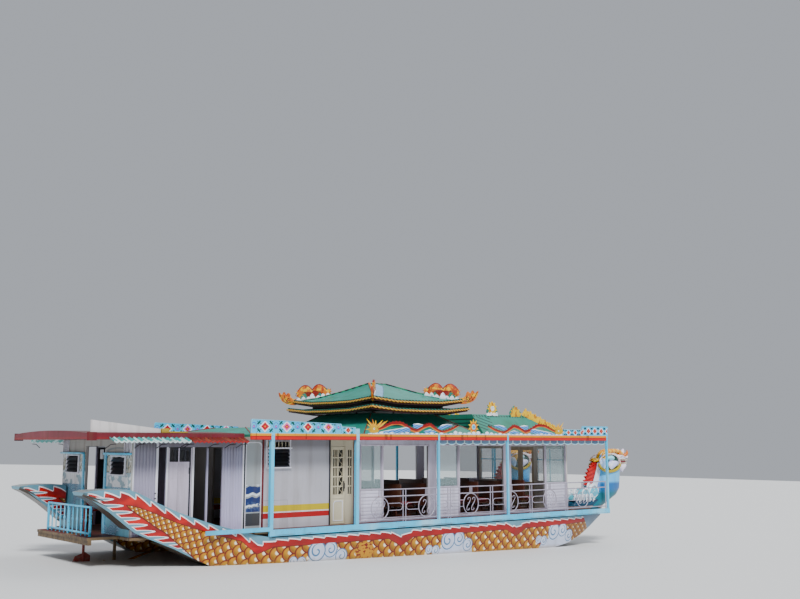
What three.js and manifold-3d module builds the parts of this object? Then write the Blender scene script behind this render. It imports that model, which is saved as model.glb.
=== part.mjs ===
// Passenger dragon boat: two flat-bottomed hulls under one deck, a long saloon and a two-tier pavilion roof.
// Millimetres, +X forward, +Y to port, +Z up. The origin is under the middle of the boat, at the flat of the
// hull bottoms. Lengths along the boat are drawn as stations, and station zero lies just forward of the origin.
// Pieces that come in pairs are drawn on the starboard side and mirrored to port.
import * as THREE from "three";
import { mergeVertices } from "three/addons/utils/BufferGeometryUtils.js";
import Module from "manifold-3d";

const wasm = await Module();
wasm.setup();

// Driving dimensions
const STATION_ZERO = 235;
const DECK_TOP = 1150;
const DECK_UNDER = 1090;
const HULL_TOP = 990;
const DECK_HALF = 2440;
const EDGE_HALF = 2500;
const BOW_END = 7410;
const HULL_Y = -1900;
const WALL_OUT = -1950;
const WALL_IN = -1900;
const CEILING = 3250;
const CEILING_TOP = 3310;
const EAVE_TOP = 3400;
const EAVE_IN = 2460;
const EAVE_THICK = 40;
const CABIN_AFT = -8260;
const CABIN_FRONT = 6080;
const SALOON_AFT = -2190;
const GALLEY_FRONT = -4910;
const STERN_ROOF_AFT = -9390;
const MAIN_ROOF_AFT = -5590;
const RUDDER_X = -8450;
const SHAFT_R = 25;
const STOCK_HOLE_R = 32;
const TRUNK_R = 62;
const ROUND = 24;
const OVERLAP = 5;
const RUN_GAP = 5;
const SEAT_GAP = 0.4;
const RAIL_Y = -2418;
const RAIL_R = 13;
const PAVILION_X = 110;

// Geometry helpers

function bare(geometry) {
  const plain = geometry.clone();
  plain.deleteAttribute("normal");
  plain.deleteAttribute("uv");
  return mergeVertices(plain, 0.01);
}

function toSolid(geometry) {
  const plain = bare(geometry);
  return new wasm.Manifold(new wasm.Mesh({
    numProp: 3,
    vertProperties: new Float32Array(plain.attributes.position.array),
    triVerts: new Uint32Array(plain.index.array),
  }));
}

function fromSolid(solid) {
  const mesh = solid.getMesh();
  const geometry = new THREE.BufferGeometry();
  geometry.setAttribute("position", new THREE.BufferAttribute(mesh.vertProperties, mesh.numProp));
  geometry.setIndex(new THREE.BufferAttribute(mesh.triVerts, 1));
  return geometry;
}

function join(...pieces) {
  return fromSolid(pieces.map(toSolid).reduce((whole, piece) => whole.add(piece)));
}

function cut(base, ...tools) {
  return fromSolid(tools.map(toSolid).reduce((rest, tool) => rest.subtract(tool), toSolid(base)));
}

function block([x0, x1], [y0, y1], [z0, z1]) {
  return new THREE.BoxGeometry(x1 - x0, y1 - y0, z1 - z0)
    .translate((x0 + x1) / 2, (y0 + y1) / 2, (z0 + z1) / 2);
}

function rect(u0, u1, v0, v1) {
  return [[u0, v0], [u1, v0], [u1, v1], [u0, v1]];
}

function extrude(outline, depth) {
  const shape = new THREE.Shape(outline.map(([u, v]) => new THREE.Vector2(u, v)));
  return new THREE.ExtrudeGeometry(shape, { depth, bevelEnabled: false });
}

const THROUGH = 20;

// Outline in X and Z, thickness along Y
function sidePlate(outline, [y0, y1], holes = []) {
  const plate = extrude(outline, y1 - y0).rotateX(Math.PI / 2).translate(0, y1, 0);
  const tools = holes.map((hole) => sidePlate(hole, [y0 - THROUGH, y1 + THROUGH]));
  return tools.length ? cut(plate, ...tools) : plate;
}

// Outline in Y and Z, thickness along X
function crossPlate(outline, [x0, x1], holes = []) {
  const plate = extrude(outline, x1 - x0).rotateX(Math.PI / 2).rotateZ(Math.PI / 2).translate(x0, 0, 0);
  const tools = holes.map((hole) => crossPlate(hole, [x0 - THROUGH, x1 + THROUGH]));
  return tools.length ? cut(plate, ...tools) : plate;
}

// Outline in X and Y, thickness along Z
function flatPlate(outline, [z0, z1]) {
  return extrude(outline, z1 - z0).translate(0, 0, z0);
}

function bar(from, to, radius, sides = 6) {
  const start = new THREE.Vector3(...from);
  const end = new THREE.Vector3(...to);
  const along = end.clone().sub(start);
  const upright = new THREE.Vector3(0, 1, 0);
  const turn = new THREE.Quaternion().setFromUnitVectors(upright, along.clone().normalize());
  return new THREE.CylinderGeometry(radius, radius, along.length(), sides)
    .applyQuaternion(turn)
    .translate(...start.add(end).multiplyScalar(0.5).toArray());
}

function flipped(geometry) {
  const index = geometry.index.array;
  for (let k = 0; k < index.length; k += 3) [index[k + 1], index[k + 2]] = [index[k + 2], index[k + 1]];
  return geometry;
}

function outward(geometry) {
  const at = geometry.attributes.position;
  const [p, q, r] = [new THREE.Vector3(), new THREE.Vector3(), new THREE.Vector3()];
  let volume = 0;
  for (let k = 0; k < geometry.index.count; k += 3) {
    p.fromBufferAttribute(at, geometry.index.getX(k));
    q.fromBufferAttribute(at, geometry.index.getX(k + 1));
    r.fromBufferAttribute(at, geometry.index.getX(k + 2));
    volume += p.dot(q.cross(r));
  }
  return volume < 0 ? flipped(geometry) : geometry;
}

// Skin through rings of equal point count, closed at both ends
function loft(rings) {
  const count = rings[0].length;
  const index = [];
  for (let ring = 0; ring < rings.length - 1; ring += 1) {
    for (let k = 0; k < count; k += 1) {
      const a = ring * count + k;
      const b = ring * count + ((k + 1) % count);
      index.push(a, b, b + count, a, b + count, a + count);
    }
  }
  const last = (rings.length - 1) * count;
  for (let k = 1; k < count - 1; k += 1) {
    index.push(0, k + 1, k);
    index.push(last, last + k, last + k + 1);
  }
  const geometry = new THREE.BufferGeometry();
  geometry.setAttribute("position", new THREE.Float32BufferAttribute(rings.flat(2), 3));
  geometry.setIndex(index);
  return outward(geometry);
}

function mirrored(geometry) {
  return flipped(bare(geometry).scale(1, -1, 1));
}

function range(count, value) {
  return Array.from({ length: count }, (_, k) => value(k));
}

function between(table, key, x) {
  const next = Math.max(1, table.findIndex((row) => row.x >= x));
  const [from, to] = [table[next - 1], table[next]];
  return from[key] + ((to[key] - from[key]) * (x - from.x)) / (to.x - from.x);
}

// Assembly

const boat = new THREE.Group();

function place(name, geometry, color, roughness = 0.5, metalness = 0) {
  const moved = geometry.clone().translate(STATION_ZERO, 0, 0);
  const mesh = new THREE.Mesh(moved, new THREE.MeshStandardMaterial({ color, roughness, metalness }));
  mesh.name = name;
  boat.add(mesh);
}

function placePair(name, geometry, color, roughness, metalness) {
  place(`${name}_starboard`, geometry, color, roughness, metalness);
  place(`${name}_port`, mirrored(geometry), color, roughness, metalness);
}

const SKY_BLUE = 0x7dc3dc;
const GOLD = 0xc88c0a;
const ROOF_GREEN = 0x46967a;
const MAROON = 0x78282d;
const PALE_GREY = 0xb4b4bc;
const RAIL_GREY = 0x9a8f96;
const YELLOW = 0xf5aa14;
const DARK = 0x2a2a2a;

// Hulls: flat bottom, flared sides, a rising tail aft and a raked stem
const HULL = [
  { x: -9410, keel: 2080, sheer: 2150, half: 300 },
  { x: -9190, keel: 1975, sheer: 2182, half: 320 },
  { x: -8810, keel: 1720, sheer: 2190, half: 335 },
  { x: -8410, keel: 1400, sheer: 2175, half: 355 },
  { x: -8230, keel: 1262, sheer: 2110, half: 362 },
  { x: -8020, keel: 1165, sheer: 2010, half: 372 },
  { x: -7730, keel: 1045, sheer: 1860, half: 385 },
  { x: -7300, keel: 865, sheer: 1668, half: 410 },
  { x: -6870, keel: 650, sheer: 1510, half: 435 },
  { x: -6390, keel: 430, sheer: 1350, half: 465 },
  { x: -5790, keel: 230, sheer: 1190, half: 500 },
  { x: -5390, keel: 125, sheer: 1078, half: 522 },
  { x: -4890, keel: 50, sheer: HULL_TOP, half: 545 },
  { x: -4000, keel: 0, sheer: HULL_TOP, half: 568 },
  { x: -3000, keel: 0, sheer: HULL_TOP, half: 575 },
  { x: 2500, keel: 0, sheer: HULL_TOP, half: 575 },
  { x: 3600, keel: 12, sheer: HULL_TOP, half: 570 },
  { x: 4600, keel: 60, sheer: HULL_TOP, half: 555 },
  { x: 5670, keel: 215, sheer: HULL_TOP, half: 510 },
  { x: 6310, keel: 420, sheer: HULL_TOP, half: 455 },
  { x: 6780, keel: 635, sheer: HULL_TOP, half: 395 },
  { x: 7280, keel: 890, sheer: HULL_TOP, half: 320 },
];
const BOTTOM_SHARE = 0.72;
const SIDE_STEPS = 5;
const PLANK = 60;

// Share of the half beam at a rise from 0 at the keel to 1 at the sheer
function flare(rise) {
  const held = Math.min(1, Math.max(0, rise));
  return BOTTOM_SHARE + (1 - BOTTOM_SHARE) * Math.sin((held * Math.PI) / 2);
}

function hullRing({ x, keel, sheer, half }) {
  const side = range(SIDE_STEPS + 1, (k) => {
    const rise = k / SIDE_STEPS;
    return [half * flare(rise), keel + (sheer - keel) * rise];
  });
  const outer = side.map(([y, z]) => [x, HULL_Y - y, z]);
  const inner = side.map(([y, z]) => [x, HULL_Y + y, z]).reverse();
  return [...outer, ...inner];
}

// Aft of amidships only the outer plank stands above the deck bearers, as a bulwark
const BULWARK = { aft: -8310, bow: -4880 };
const ABOVE_ALL = 2400;
const INBOARD_OF_HULL = HULL_Y + 700;
function insideOfPlank(x) {
  const [keel, sheer, half] = ["keel", "sheer", "half"].map((key) => between(HULL, key, x));
  const top = Math.max(sheer, HULL_TOP + 1);
  const plank = range(SIDE_STEPS + 1, (k) => {
    const z = HULL_TOP + ((top - HULL_TOP) * k) / SIDE_STEPS;
    return [x, HULL_Y - half * flare((z - keel) / (sheer - keel)) + PLANK, z];
  });
  const [, outer] = plank[SIDE_STEPS];
  return [...plank, [x, outer, ABOVE_ALL], [x, INBOARD_OF_HULL, ABOVE_ALL], [x, INBOARD_OF_HULL, HULL_TOP]];
}

function hull() {
  const stations = HULL.map((row) => row.x).filter((x) => x > BULWARK.aft && x < BULWARK.bow);
  const inside = loft([BULWARK.aft, ...stations, BULWARK.bow].map(insideOfPlank));
  return cut(loft(HULL.map(hullRing)), inside);
}

// Deck: planking on bearers and cross beams, with a well for the shaft and a trunk for the rudder stock
const CROSS_BEAMS = [-8930, -7700, -6450, -5600, -4300, -2900, -1500, -100, 1300, 2700, 4100, 5500, 6900];
const BEAM_WIDE = 80;
const BEARERS = { aft: -7200, bow: 7270, wide: 80, y: [-2160, -1720, 1640, 2080] };
const TAIL_GAP_HALF = 1480;
const SHAFT_SLOPE = 0.287;
const PROP_X = -7900;
const PROP_Z = 290;
const STRUT_X = -7700;

function shaftZ(x) {
  return PROP_Z + (x - PROP_X) * SHAFT_SLOPE;
}

function deck() {
  const edge = [
    [BOW_END, DECK_HALF], [-5400, DECK_HALF], [-5400, 2335], [-6390, 2270], [-7300, 2160], [-7730, 2105],
    [-8300, 2080], [-8300, TAIL_GAP_HALF], [-8990, TAIL_GAP_HALF],
  ];
  const outline = [...edge, ...edge.map(([x, y]) => [x, -y]).reverse()];
  const planking = flatPlate(outline, [DECK_UNDER, DECK_TOP]);
  const underFloor = [HULL_TOP, DECK_UNDER + OVERLAP];
  const bearers = BEARERS.y.map((y) => block([BEARERS.aft, BEARERS.bow], [y, y + BEARERS.wide], underFloor));
  const beams = CROSS_BEAMS.map((x) => {
    const half = x < BEARERS.aft ? TAIL_GAP_HALF : BEARERS.y[3] + BEARERS.wide;
    return block([x - BEAM_WIDE / 2, x + BEAM_WIDE / 2], [-half, half], underFloor);
  });
  const trunk = bar([RUDDER_X, 0, 900], [RUDDER_X, 0, DECK_UNDER + OVERLAP], TRUNK_R, ROUND);
  const stockHole = bar([RUDDER_X, 0, 800], [RUDDER_X, 0, 1300], STOCK_HOLE_R, ROUND);
  const shaftWell = block([-5420, -4620], [-60, 60], [900, 1300]);
  const strut = strutLeg();
  return cut(join(planking, ...bearers, ...beams, trunk, strut), stockHole, shaftWell, shaftBore());
}

const BORE_R = 25.6;
const SLEEVE = { half: 80, radius: 48 };
function alongShaft(x0, x1, radius, sides = ROUND) {
  return bar([x0, 0, shaftZ(x0)], [x1, 0, shaftZ(x1)], radius, sides);
}

function strutLeg() {
  const leg = block([STRUT_X - 35, STRUT_X + 35], [-14, 14], [shaftZ(STRUT_X), HULL_TOP + 2 * OVERLAP]);
  return join(leg, alongShaft(STRUT_X - SLEEVE.half, STRUT_X + SLEEVE.half, SLEEVE.radius));
}

function shaftBore() {
  return alongShaft(STRUT_X - 300, STRUT_X + 300, BORE_R);
}

// Engine, one plain block over its bed, with the coupling face towards the shaft
const ENGINE = { aft: -4560, long: 1050, half: 330, high: 760 };
function engine() {
  const { aft, long, half, high } = ENGINE;
  return block([aft, aft + long], [-half, half], [DECK_TOP, DECK_TOP + high]);
}

// Propeller, hub and shaft turn together; the shaft stops just short of the engine
const PROP_R = 215;
const BLADES = 3;
const BLADE_PITCH = 0.6;
const HUB = { half: 60, radius: 45 };
function propeller() {
  const shaft = alongShaft(PROP_X - HUB.half, ENGINE.aft - 8, SHAFT_R);
  const hub = alongShaft(PROP_X - HUB.half, PROP_X + HUB.half, HUB.radius, ROUND / 2);
  const tilt = -Math.atan(SHAFT_SLOPE);
  const outline = [[-18, 30], [-62, 120], [-55, 190], [0, PROP_R], [55, 190], [62, 120], [18, 30]];
  const blades = range(BLADES, (k) => flatPlate(outline, [-6, 6])
    .rotateY(BLADE_PITCH)
    .rotateX(Math.PI / 2)
    .rotateZ(Math.PI / 2)
    .rotateX((2 * Math.PI * k) / BLADES)
    .rotateY(tilt)
    .translate(PROP_X, 0, PROP_Z));
  return join(shaft, hub, ...blades);
}

// Rudder: stock, blade below and tiller above, one turning piece
const STOCK_R = 31.4;
const COLLAR_R = 58;
function rudder() {
  const stock = bar([RUDDER_X, 0, 120], [RUDDER_X, 0, 1660], STOCK_R, ROUND);
  const collar = bar([RUDDER_X, 0, DECK_TOP + SEAT_GAP], [RUDDER_X, 0, DECK_TOP + 45], COLLAR_R, ROUND);
  const blade = sidePlate([
    [-8690, 70], [-8330, 70], [-8290, 120], [-8290, 620], [-8400, 700], [-8640, 620], [-8700, 480],
  ], [-14, 14]);
  const tiller = bar([RUDDER_X, 0, 1620], [RUDDER_X + 640, 0, 1660], 20, 8);
  return join(stock, collar, blade, tiller);
}

// Deck edge: light blue beam with the slim posts that carry the eaves
const POSTS = [
  { x: -4990, wide: 90 },
  { x: -2480, wide: 90 },
  { x: 260, wide: 60 },
  { x: 2910, wide: 60 },
  { x: 7365, wide: 60 },
];
const EDGE_BEAM = { aft: -5035, low: 1020, high: 1170 };
const AFT_BAR = { aft: -6690, bow: -5000, low: 1140, high: 1235 };
function sideFrame() {
  const beam = block([EDGE_BEAM.aft, BOW_END], [-EDGE_HALF, -DECK_HALF], [EDGE_BEAM.low, EDGE_BEAM.high]);
  const aftBar = block([AFT_BAR.aft, AFT_BAR.bow], [-EDGE_HALF, -EAVE_IN], [AFT_BAR.low, AFT_BAR.high]);
  const foot = EDGE_BEAM.high - 2 * OVERLAP;
  const posts = POSTS.map(({ x, wide }) => (
    block([x - wide / 2, x + wide / 2], [-EDGE_HALF, wide - EDGE_HALF], [foot, CEILING])
  ));
  return join(beam, aftBar, ...posts);
}

// Railing: three rails, rings, paired uprights and hairpins between them
const RAIL = { low: 1235, second: 1815, top: 1990 };
const RING_R = 275;
const RINGS = [-1700, -120, 1500, 3090, 4730, 6210];
const UPRIGHT_PAIRS = [-890, 690, 2300, 3910, 5470];
const HAIRPIN = { low: 1455, high: 1645 };
const PAIR_HALF = 45;
const STUB_HALF = 35;
const THIN_R = RAIL_R - 2;
function railing() {
  const [from, to] = [-2434, 7334];
  const centre = (RAIL.low + RAIL.second) / 2;
  const rails = [RAIL.low, RAIL.second, RAIL.top].map((z) => squareBar([from, to], z));
  const ends = [from + RAIL_R, to - RAIL_R].map((x) => squarePost(x, RAIL_R, DECK_TOP, RAIL.top));
  const rings = RINGS.map((x) => new THREE.TorusGeometry(RING_R + 10, THIN_R, 4, 16)
    .rotateX(Math.PI / 2)
    .translate(x, RAIL_Y, centre));
  const pairs = (places, half) => places.flatMap((x) => [x - half, x + half]);
  const stubs = pairs(RINGS, STUB_HALF).map((x) => squarePost(x, THIN_R - 4, RAIL.second, RAIL.top));
  const uprights = pairs(UPRIGHT_PAIRS, PAIR_HALF).map((x) => squarePost(x, THIN_R, DECK_TOP, RAIL.top));
  const hairpins = UPRIGHT_PAIRS.flatMap((x, k) => [
    hairpin(RINGS[k] + RING_R, x - PAIR_HALF), hairpin(RINGS[k + 1] - RING_R, x + PAIR_HALF),
  ]);
  return join(...rails, ...ends, ...rings, ...stubs, ...uprights, ...hairpins);
}

function squareBar(xRange, z) {
  return block(xRange, [RAIL_Y - RAIL_R, RAIL_Y + RAIL_R], [z - RAIL_R, z + RAIL_R]);
}

function squarePost(x, half, z0, z1) {
  return block([x - half, x + half], [RAIL_Y - half, RAIL_Y + half], [z0, z1]);
}

function hairpin(ringSide, uprightX) {
  const towards = Math.sign(uprightX - ringSide);
  const [near, bend, far] = [ringSide - towards * 12, uprightX - towards * 70, uprightX - towards * 4];
  const { high, low } = HAIRPIN;
  const half = 8;
  const [inBend, inFar] = [bend - towards * 6, far - towards * 18];
  const outer = [
    [near, high + half], [bend, high + half], [far, high - 55],
    [far, low + 55], [bend, low - half], [near, low - half],
    [near, low + half], [inBend, low + half], [inFar, low + 62],
    [inFar, high - 62], [inBend, high - half], [near, high - half],
  ];
  return outward(bare(sidePlate(outer, [RAIL_Y - half, RAIL_Y + half])));
}

// Stern balustrade between the tails
const BALUSTRADE = { x: -8830, half: 1250, low: 1215, high: 1780, rail: 20, count: 11, stout: 24, thin: 12 };
function sternBalustrade() {
  const { x, half, low, high, rail, count, stout, thin } = BALUSTRADE;
  const rails = [low, high].map((z) => block([x - rail, x + rail], [-half, half], [z - rail, z + rail]));
  const uprights = range(count, (k) => {
    const y = (half - stout) * ((2 * k) / (count - 1) - 1);
    const r = k % 5 === 0 ? stout : thin;
    return block([x - r, x + r], [y - r, y + r], [DECK_TOP, high + OVERLAP]);
  });
  return join(...rails, ...uprights);
}

// Cabin side walls from stern to bow. Corrugated sheet has a trapezoid wave.
const WAVE = { pitch: 74, depth: 18 };
function corrugated(x0, x1, z0, z1) {
  const waves = Math.round((x1 - x0) / WAVE.pitch);
  const step = (x1 - x0) / waves;
  const outer = range(waves, (k) => {
    const x = x0 + k * step;
    const low = WALL_OUT + WAVE.depth;
    return [[x, WALL_OUT], [x + step * 0.35, WALL_OUT], [x + step * 0.5, low], [x + step * 0.85, low]];
  }).flat();
  return flatPlate([...outer, [x1, WALL_OUT], [x1, WALL_IN], [x0, WALL_IN]], [z0, z1]);
}

const STERN_WALL_IN = CABIN_AFT + 50;
const DOOR_HEAD = 3080;
function sternSideWall() {
  const panel = corrugated(STERN_WALL_IN, -7670, DECK_TOP, CEILING);
  const jamb = block([-7672, -7632], [WALL_OUT, WALL_IN], [DECK_TOP, CEILING]);
  return join(panel, jamb);
}

// Between the corrugated panels: a head rail, thin posts and the second corrugated panel with the wave panel
function midSideWall() {
  const head = block([-7632, -5390], [WALL_OUT, WALL_IN], [DOOR_HEAD, CEILING]);
  const jambAft = block([-7428, -7388], [WALL_OUT, WALL_IN], [DECK_TOP, DOOR_HEAD + 5]);
  const jambBow = block([-6790, -6750], [WALL_OUT, WALL_IN], [DECK_TOP, DOOR_HEAD + 5]);
  const post = block([-6420, -6380], [WALL_OUT, WALL_IN], [DECK_TOP, DOOR_HEAD + 5]);
  const panel = corrugated(-6010, -5420, DECK_TOP, CEILING);
  const wavePanel = block([-5422, -4940], [WALL_OUT + 10, WALL_IN], [DECK_TOP, CEILING]);
  return join(head, jambAft, jambBow, post, panel, wavePanel);
}

// Store wall: flat panel with a louvre opening, post and door jambs
const SIDE_DOOR = { x0: -2905, x1: -2475, z0: 1165, z1: 3080 };
const DOOR_PANE_LOW = 1860;
function storeWall() {
  const x0 = -4939;
  const x1 = SALOON_AFT;
  const outline = rect(x0, x1, DECK_TOP, CEILING);
  const louvre = rect(-4790, -4170, 2600, 3200);
  const { x0: hinge, x1: lock, z1: head } = SIDE_DOOR;
  const door = rect(hinge - RUN_GAP, lock + RUN_GAP + 2, DECK_TOP + 10, head + RUN_GAP);
  const lattice = rect(-2380, -2260, DOOR_PANE_LOW, 3030);
  return sidePlate(outline, [WALL_OUT, WALL_IN], [louvre, door, lattice]);
}

// A door leaf with a glazed upper pane, hung at its lower X edge on the outer face
const LEAF = 40;
function leaf(x0, x1, z0, z1, holes) {
  return sidePlate(rect(x0, x1, z0, z1), [WALL_OUT, WALL_OUT + LEAF], holes);
}

// Hinge tabs bridge the running gap at two heights
const TAB = {
  reach: RUN_GAP - SEAT_GAP,
  lap: 8,
  thick: 12,
  high: 90,
  places: (z0, z1) => [z0 + 180, z1 - 260],
};

function sideDoor() {
  const { x0, x1, z0, z1 } = SIDE_DOOR;
  const middle = (x0 + x1) / 2;
  const sides = [[x0 + 60, middle - 15], [middle + 15, x1 - 60]];
  const panes = sides.map(([u0, u1]) => rect(u0, u1, DOOR_PANE_LOW, z1 - 50));
  const tabs = TAB.places(z0, z1).map((z) => (
    block([x0 - TAB.reach, x0 + TAB.lap], [WALL_OUT, WALL_OUT + TAB.thick], [z, z + TAB.high])
  ));
  return join(leaf(x0, x1, z0, z1, panes), ...tabs);
}

// Galley grille door, hung at its forward edge on the inner face so that it opens inwards
const GRILLE_DOOR = { x0: -7380, x1: -6795, z0: 1160, z1: 3070 };
const GRILLE_PANES = { count: 4, inset: 50, pitch: 125, wide: 95, low: 2770 };
function grilleDoor() {
  const { x0, x1, z0, z1 } = GRILLE_DOOR;
  const panes = range(GRILLE_PANES.count, (k) => {
    const x = x0 + GRILLE_PANES.inset + k * GRILLE_PANES.pitch;
    return rect(x, x + GRILLE_PANES.wide, GRILLE_PANES.low, z1 - 60);
  });
  const plate = sidePlate(rect(x0, x1, z0, z1), [WALL_IN - LEAF, WALL_IN], panes);
  const tabs = TAB.places(z0, z1).map((z) => (
    block([x1 - TAB.lap, x1 + TAB.reach], [WALL_IN - TAB.thick, WALL_IN], [z, z + TAB.high])
  ));
  return join(plate, ...tabs);
}

// Saloon side: posts, white panels under the glazed bays, open bays between
const BAYS = [
  { x0: -1960, x1: -1280, glazed: true },
  { x0: -1220, x1: 340, glazed: false },
  { x0: 640, x1: 1460, glazed: true },
  { x0: 1520, x1: 3260, glazed: false },
  { x0: 3580, x1: 5030, glazed: false },
  { x0: 5110, x1: 5990, glazed: true },
];
const SILL = 2000;
const OPEN_SILL = 1250;
const BAY_HEAD = 3100;
function saloonWall() {
  const bays = BAYS.map(({ x0, x1, glazed }) => rect(x0, x1, glazed ? SILL : OPEN_SILL, BAY_HEAD));
  const outline = rect(SALOON_AFT + SEAT_GAP, CABIN_FRONT - 50, DECK_TOP, CEILING);
  return sidePlate(outline, [WALL_OUT, WALL_IN], bays);
}

function bayPane({ x0, x1 }) {
  const y = (WALL_OUT + WALL_IN) / 2;
  return block([x0 + SEAT_GAP, x1 - SEAT_GAP], [y - 4, y + 4], [SILL + SEAT_GAP, BAY_HEAD - SEAT_GAP]);
}

// Cross walls have a central doorway
function wallWithDoorway(half, doorHalf, head) {
  return [
    [-half, DECK_TOP], [-doorHalf, DECK_TOP], [-doorHalf, head], [doorHalf, head],
    [doorHalf, DECK_TOP], [half, DECK_TOP], [half, CEILING], [-half, CEILING],
  ];
}

// Stern wall: a louvre opening on each side of the doorway
const STERN_DOOR_HALF = 550;
function sternWall() {
  const louvres = [rect(-1640, -960, 2480, 2870), rect(960, 1640, 2480, 2870)];
  return crossPlate(wallWithDoorway(-WALL_OUT, STERN_DOOR_HALF, 3100), [CABIN_AFT, STERN_WALL_IN], louvres);
}

// Partitions inside
const PARTITION = { doorHalf: 450, head: 3050, thick: 40 };
function partition(x) {
  const outline = wallWithDoorway(-WALL_IN - SEAT_GAP, PARTITION.doorHalf, PARTITION.head);
  return crossPlate(outline, [x, x + PARTITION.thick]);
}

const FRONT_DOOR_HALF = 600;
const FRONT_HEAD = 3060;
function frontWall() {
  const outline = wallWithDoorway(-WALL_OUT, FRONT_DOOR_HALF, FRONT_HEAD);
  const windows = [rect(-1800, -750, SILL, 3000), rect(750, 1800, SILL, 3000)];
  return crossPlate(outline, [CABIN_FRONT - 50 + SEAT_GAP, CABIN_FRONT], windows);
}

// Front door leaf, hung on its outboard edge at the outer face
function frontDoor() {
  const [y0, y1] = [-FRONT_DOOR_HALF + RUN_GAP, -RUN_GAP];
  const [z0, z1] = [1165, FRONT_HEAD - RUN_GAP];
  const pane = rect(y0 + 90, y1 - 90, 1950, z1 - 110);
  const plate = crossPlate(rect(y0, y1, z0, z1), [CABIN_FRONT - LEAF, CABIN_FRONT], [pane]);
  const tabs = TAB.places(z0, z1).map((z) => (
    block([CABIN_FRONT - TAB.thick, CABIN_FRONT], [y0 - TAB.reach, y0 + TAB.lap], [z, z + TAB.high])
  ));
  return join(plate, ...tabs);
}

// Saloon seats: benches on a plinth, facing forward
const SEATS = {
  count: 7, first: -1450, pitch: 960, deep: 470, back: 90, under: 1480, top: 1600, backTop: 2080,
};
const SEAT_SIDES = [-1760, -640];
const PLINTH = { from: -1500, to: 5240, y: [-1560, -900], wide: 60, high: 60 };
function seatBank() {
  const across = PLINTH.y.map((y) => [y, y + PLINTH.wide]);
  const plinths = across.map((y) => block([PLINTH.from, PLINTH.to], y, [DECK_TOP, DECK_TOP + PLINTH.high]));
  const seats = range(SEATS.count, (k) => {
    const x = SEATS.first + k * SEATS.pitch;
    const cushion = block([x, x + SEATS.deep], SEAT_SIDES, [SEATS.under, SEATS.top]);
    const back = block([x, x + SEATS.back], SEAT_SIDES, [SEATS.under, SEATS.backTop]);
    const legs = across.map((y) => block([x + 180, x + 280], y, [DECK_TOP, SEATS.under + 2 * OVERLAP]));
    return [cushion, back, ...legs];
  }).flat();
  return join(...plinths, ...seats);
}

// Flat ceiling over saloon, store and foredeck, carried by the cabin walls and the posts
function ceiling() {
  return block([MAIN_ROOF_AFT, BOW_END - EAVE_THICK], [-EAVE_IN, EAVE_IN], [CEILING, CEILING_TOP]);
}

// Stern roof over the galley, slightly crowned
const STERN_ROOF_HALF = 2200;
const CROWN = { edge: 3380, rise: 70, steps: 8 };
function sternRoof() {
  const half = STERN_ROOF_HALF;
  const top = range(CROWN.steps + 1, (k) => {
    const y = half * (1 - (2 * k) / CROWN.steps);
    return [y, CROWN.edge + CROWN.rise * (1 - (y / half) ** 2)];
  });
  return crossPlate([[-half, CEILING], [half, CEILING], ...top], [STERN_ROOF_AFT, MAIN_ROOF_AFT - SEAT_GAP]);
}

// Corrugated awnings hung outside the stern roof edge
const AWNING = { pitch: 110, crest: 3195, trough: 3165, thick: 30, edge: -2470, slope: 0.3 };
function awning(x0, x1) {
  const { pitch, crest, trough, thick, edge, slope } = AWNING;
  const waves = Math.round((x1 - x0) / pitch);
  const step = (x1 - x0) / waves;
  const lower = range(waves, (k) => [[x0 + k * step, crest], [x0 + (k + 0.5) * step, trough]]).flat();
  const upper = range(waves, (k) => [
    [x1 - k * step, crest + thick], [x1 - (k + 0.5) * step, trough + thick],
  ]).flat();
  const profile = [...lower, [x1, crest], ...upper, [x0, crest + thick]];
  const sheet = sidePlate(profile, [edge, -STERN_ROOF_HALF - SEAT_GAP]);
  const at = sheet.attributes.position;
  for (let k = 0; k < at.count; k += 1) at.setZ(k, at.getZ(k) + (at.getY(k) - edge) * slope);
  return sheet;
}

// Eave boards: fascia strip with the flower boards standing on its ends
const BOARD_TOP = 3690;
const BOARD_STEP = 3580;
function sideEaveBoard() {
  return sidePlate([
    [MAIN_ROOF_AFT, CEILING], [BOW_END, CEILING], [BOW_END, BOARD_TOP], [6210, BOARD_TOP],
    [6180, BOARD_STEP], [5330, BOARD_STEP], [5300, EAVE_TOP],
    [-2540, EAVE_TOP], [-2560, 3560], [-2980, 3570], [-3010, 3640],
    [MAIN_ROOF_AFT + 30, 3725], [MAIN_ROOF_AFT, BOARD_TOP],
  ], [-EDGE_HALF, -EAVE_IN]);
}

// Across the bow the strip is plain between two raised corners
function bowEaveBoard() {
  const edge = [
    [EAVE_IN, CEILING], [EAVE_IN, BOARD_TOP], [1560, BOARD_TOP],
    [1530, BOARD_STEP], [960, BOARD_STEP], [930, EAVE_TOP],
  ];
  return crossPlate([...edge, ...edge.map(([y, z]) => [-y, z]).reverse()], [BOW_END - EAVE_THICK, BOW_END]);
}

// Scalloped trim hanging under the fascia
const VALANCE = { x0: 305, x1: 7330, count: 22, steps: 4, z: 3165, dip: 45, y: [-2436, -2424] };
function valance() {
  const { x0, x1, count, steps, z, dip, y } = VALANCE;
  const step = (x1 - x0) / count;
  const scallops = range(count, (k) => range(steps, (s) => (
    [x0 + (k + s / steps) * step, z - dip * Math.sin((Math.PI * s) / steps)]
  ))).flat();
  return sidePlate([...scallops, [x1, z], [x1, CEILING], [x0, CEILING]], y);
}

// Eave dragons: two wavy figures facing away from a flaming pearl, on a strip of cloud
const PEARL_X = 1570;
const EAVE_PLATE = [-2496, -2468];
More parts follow.
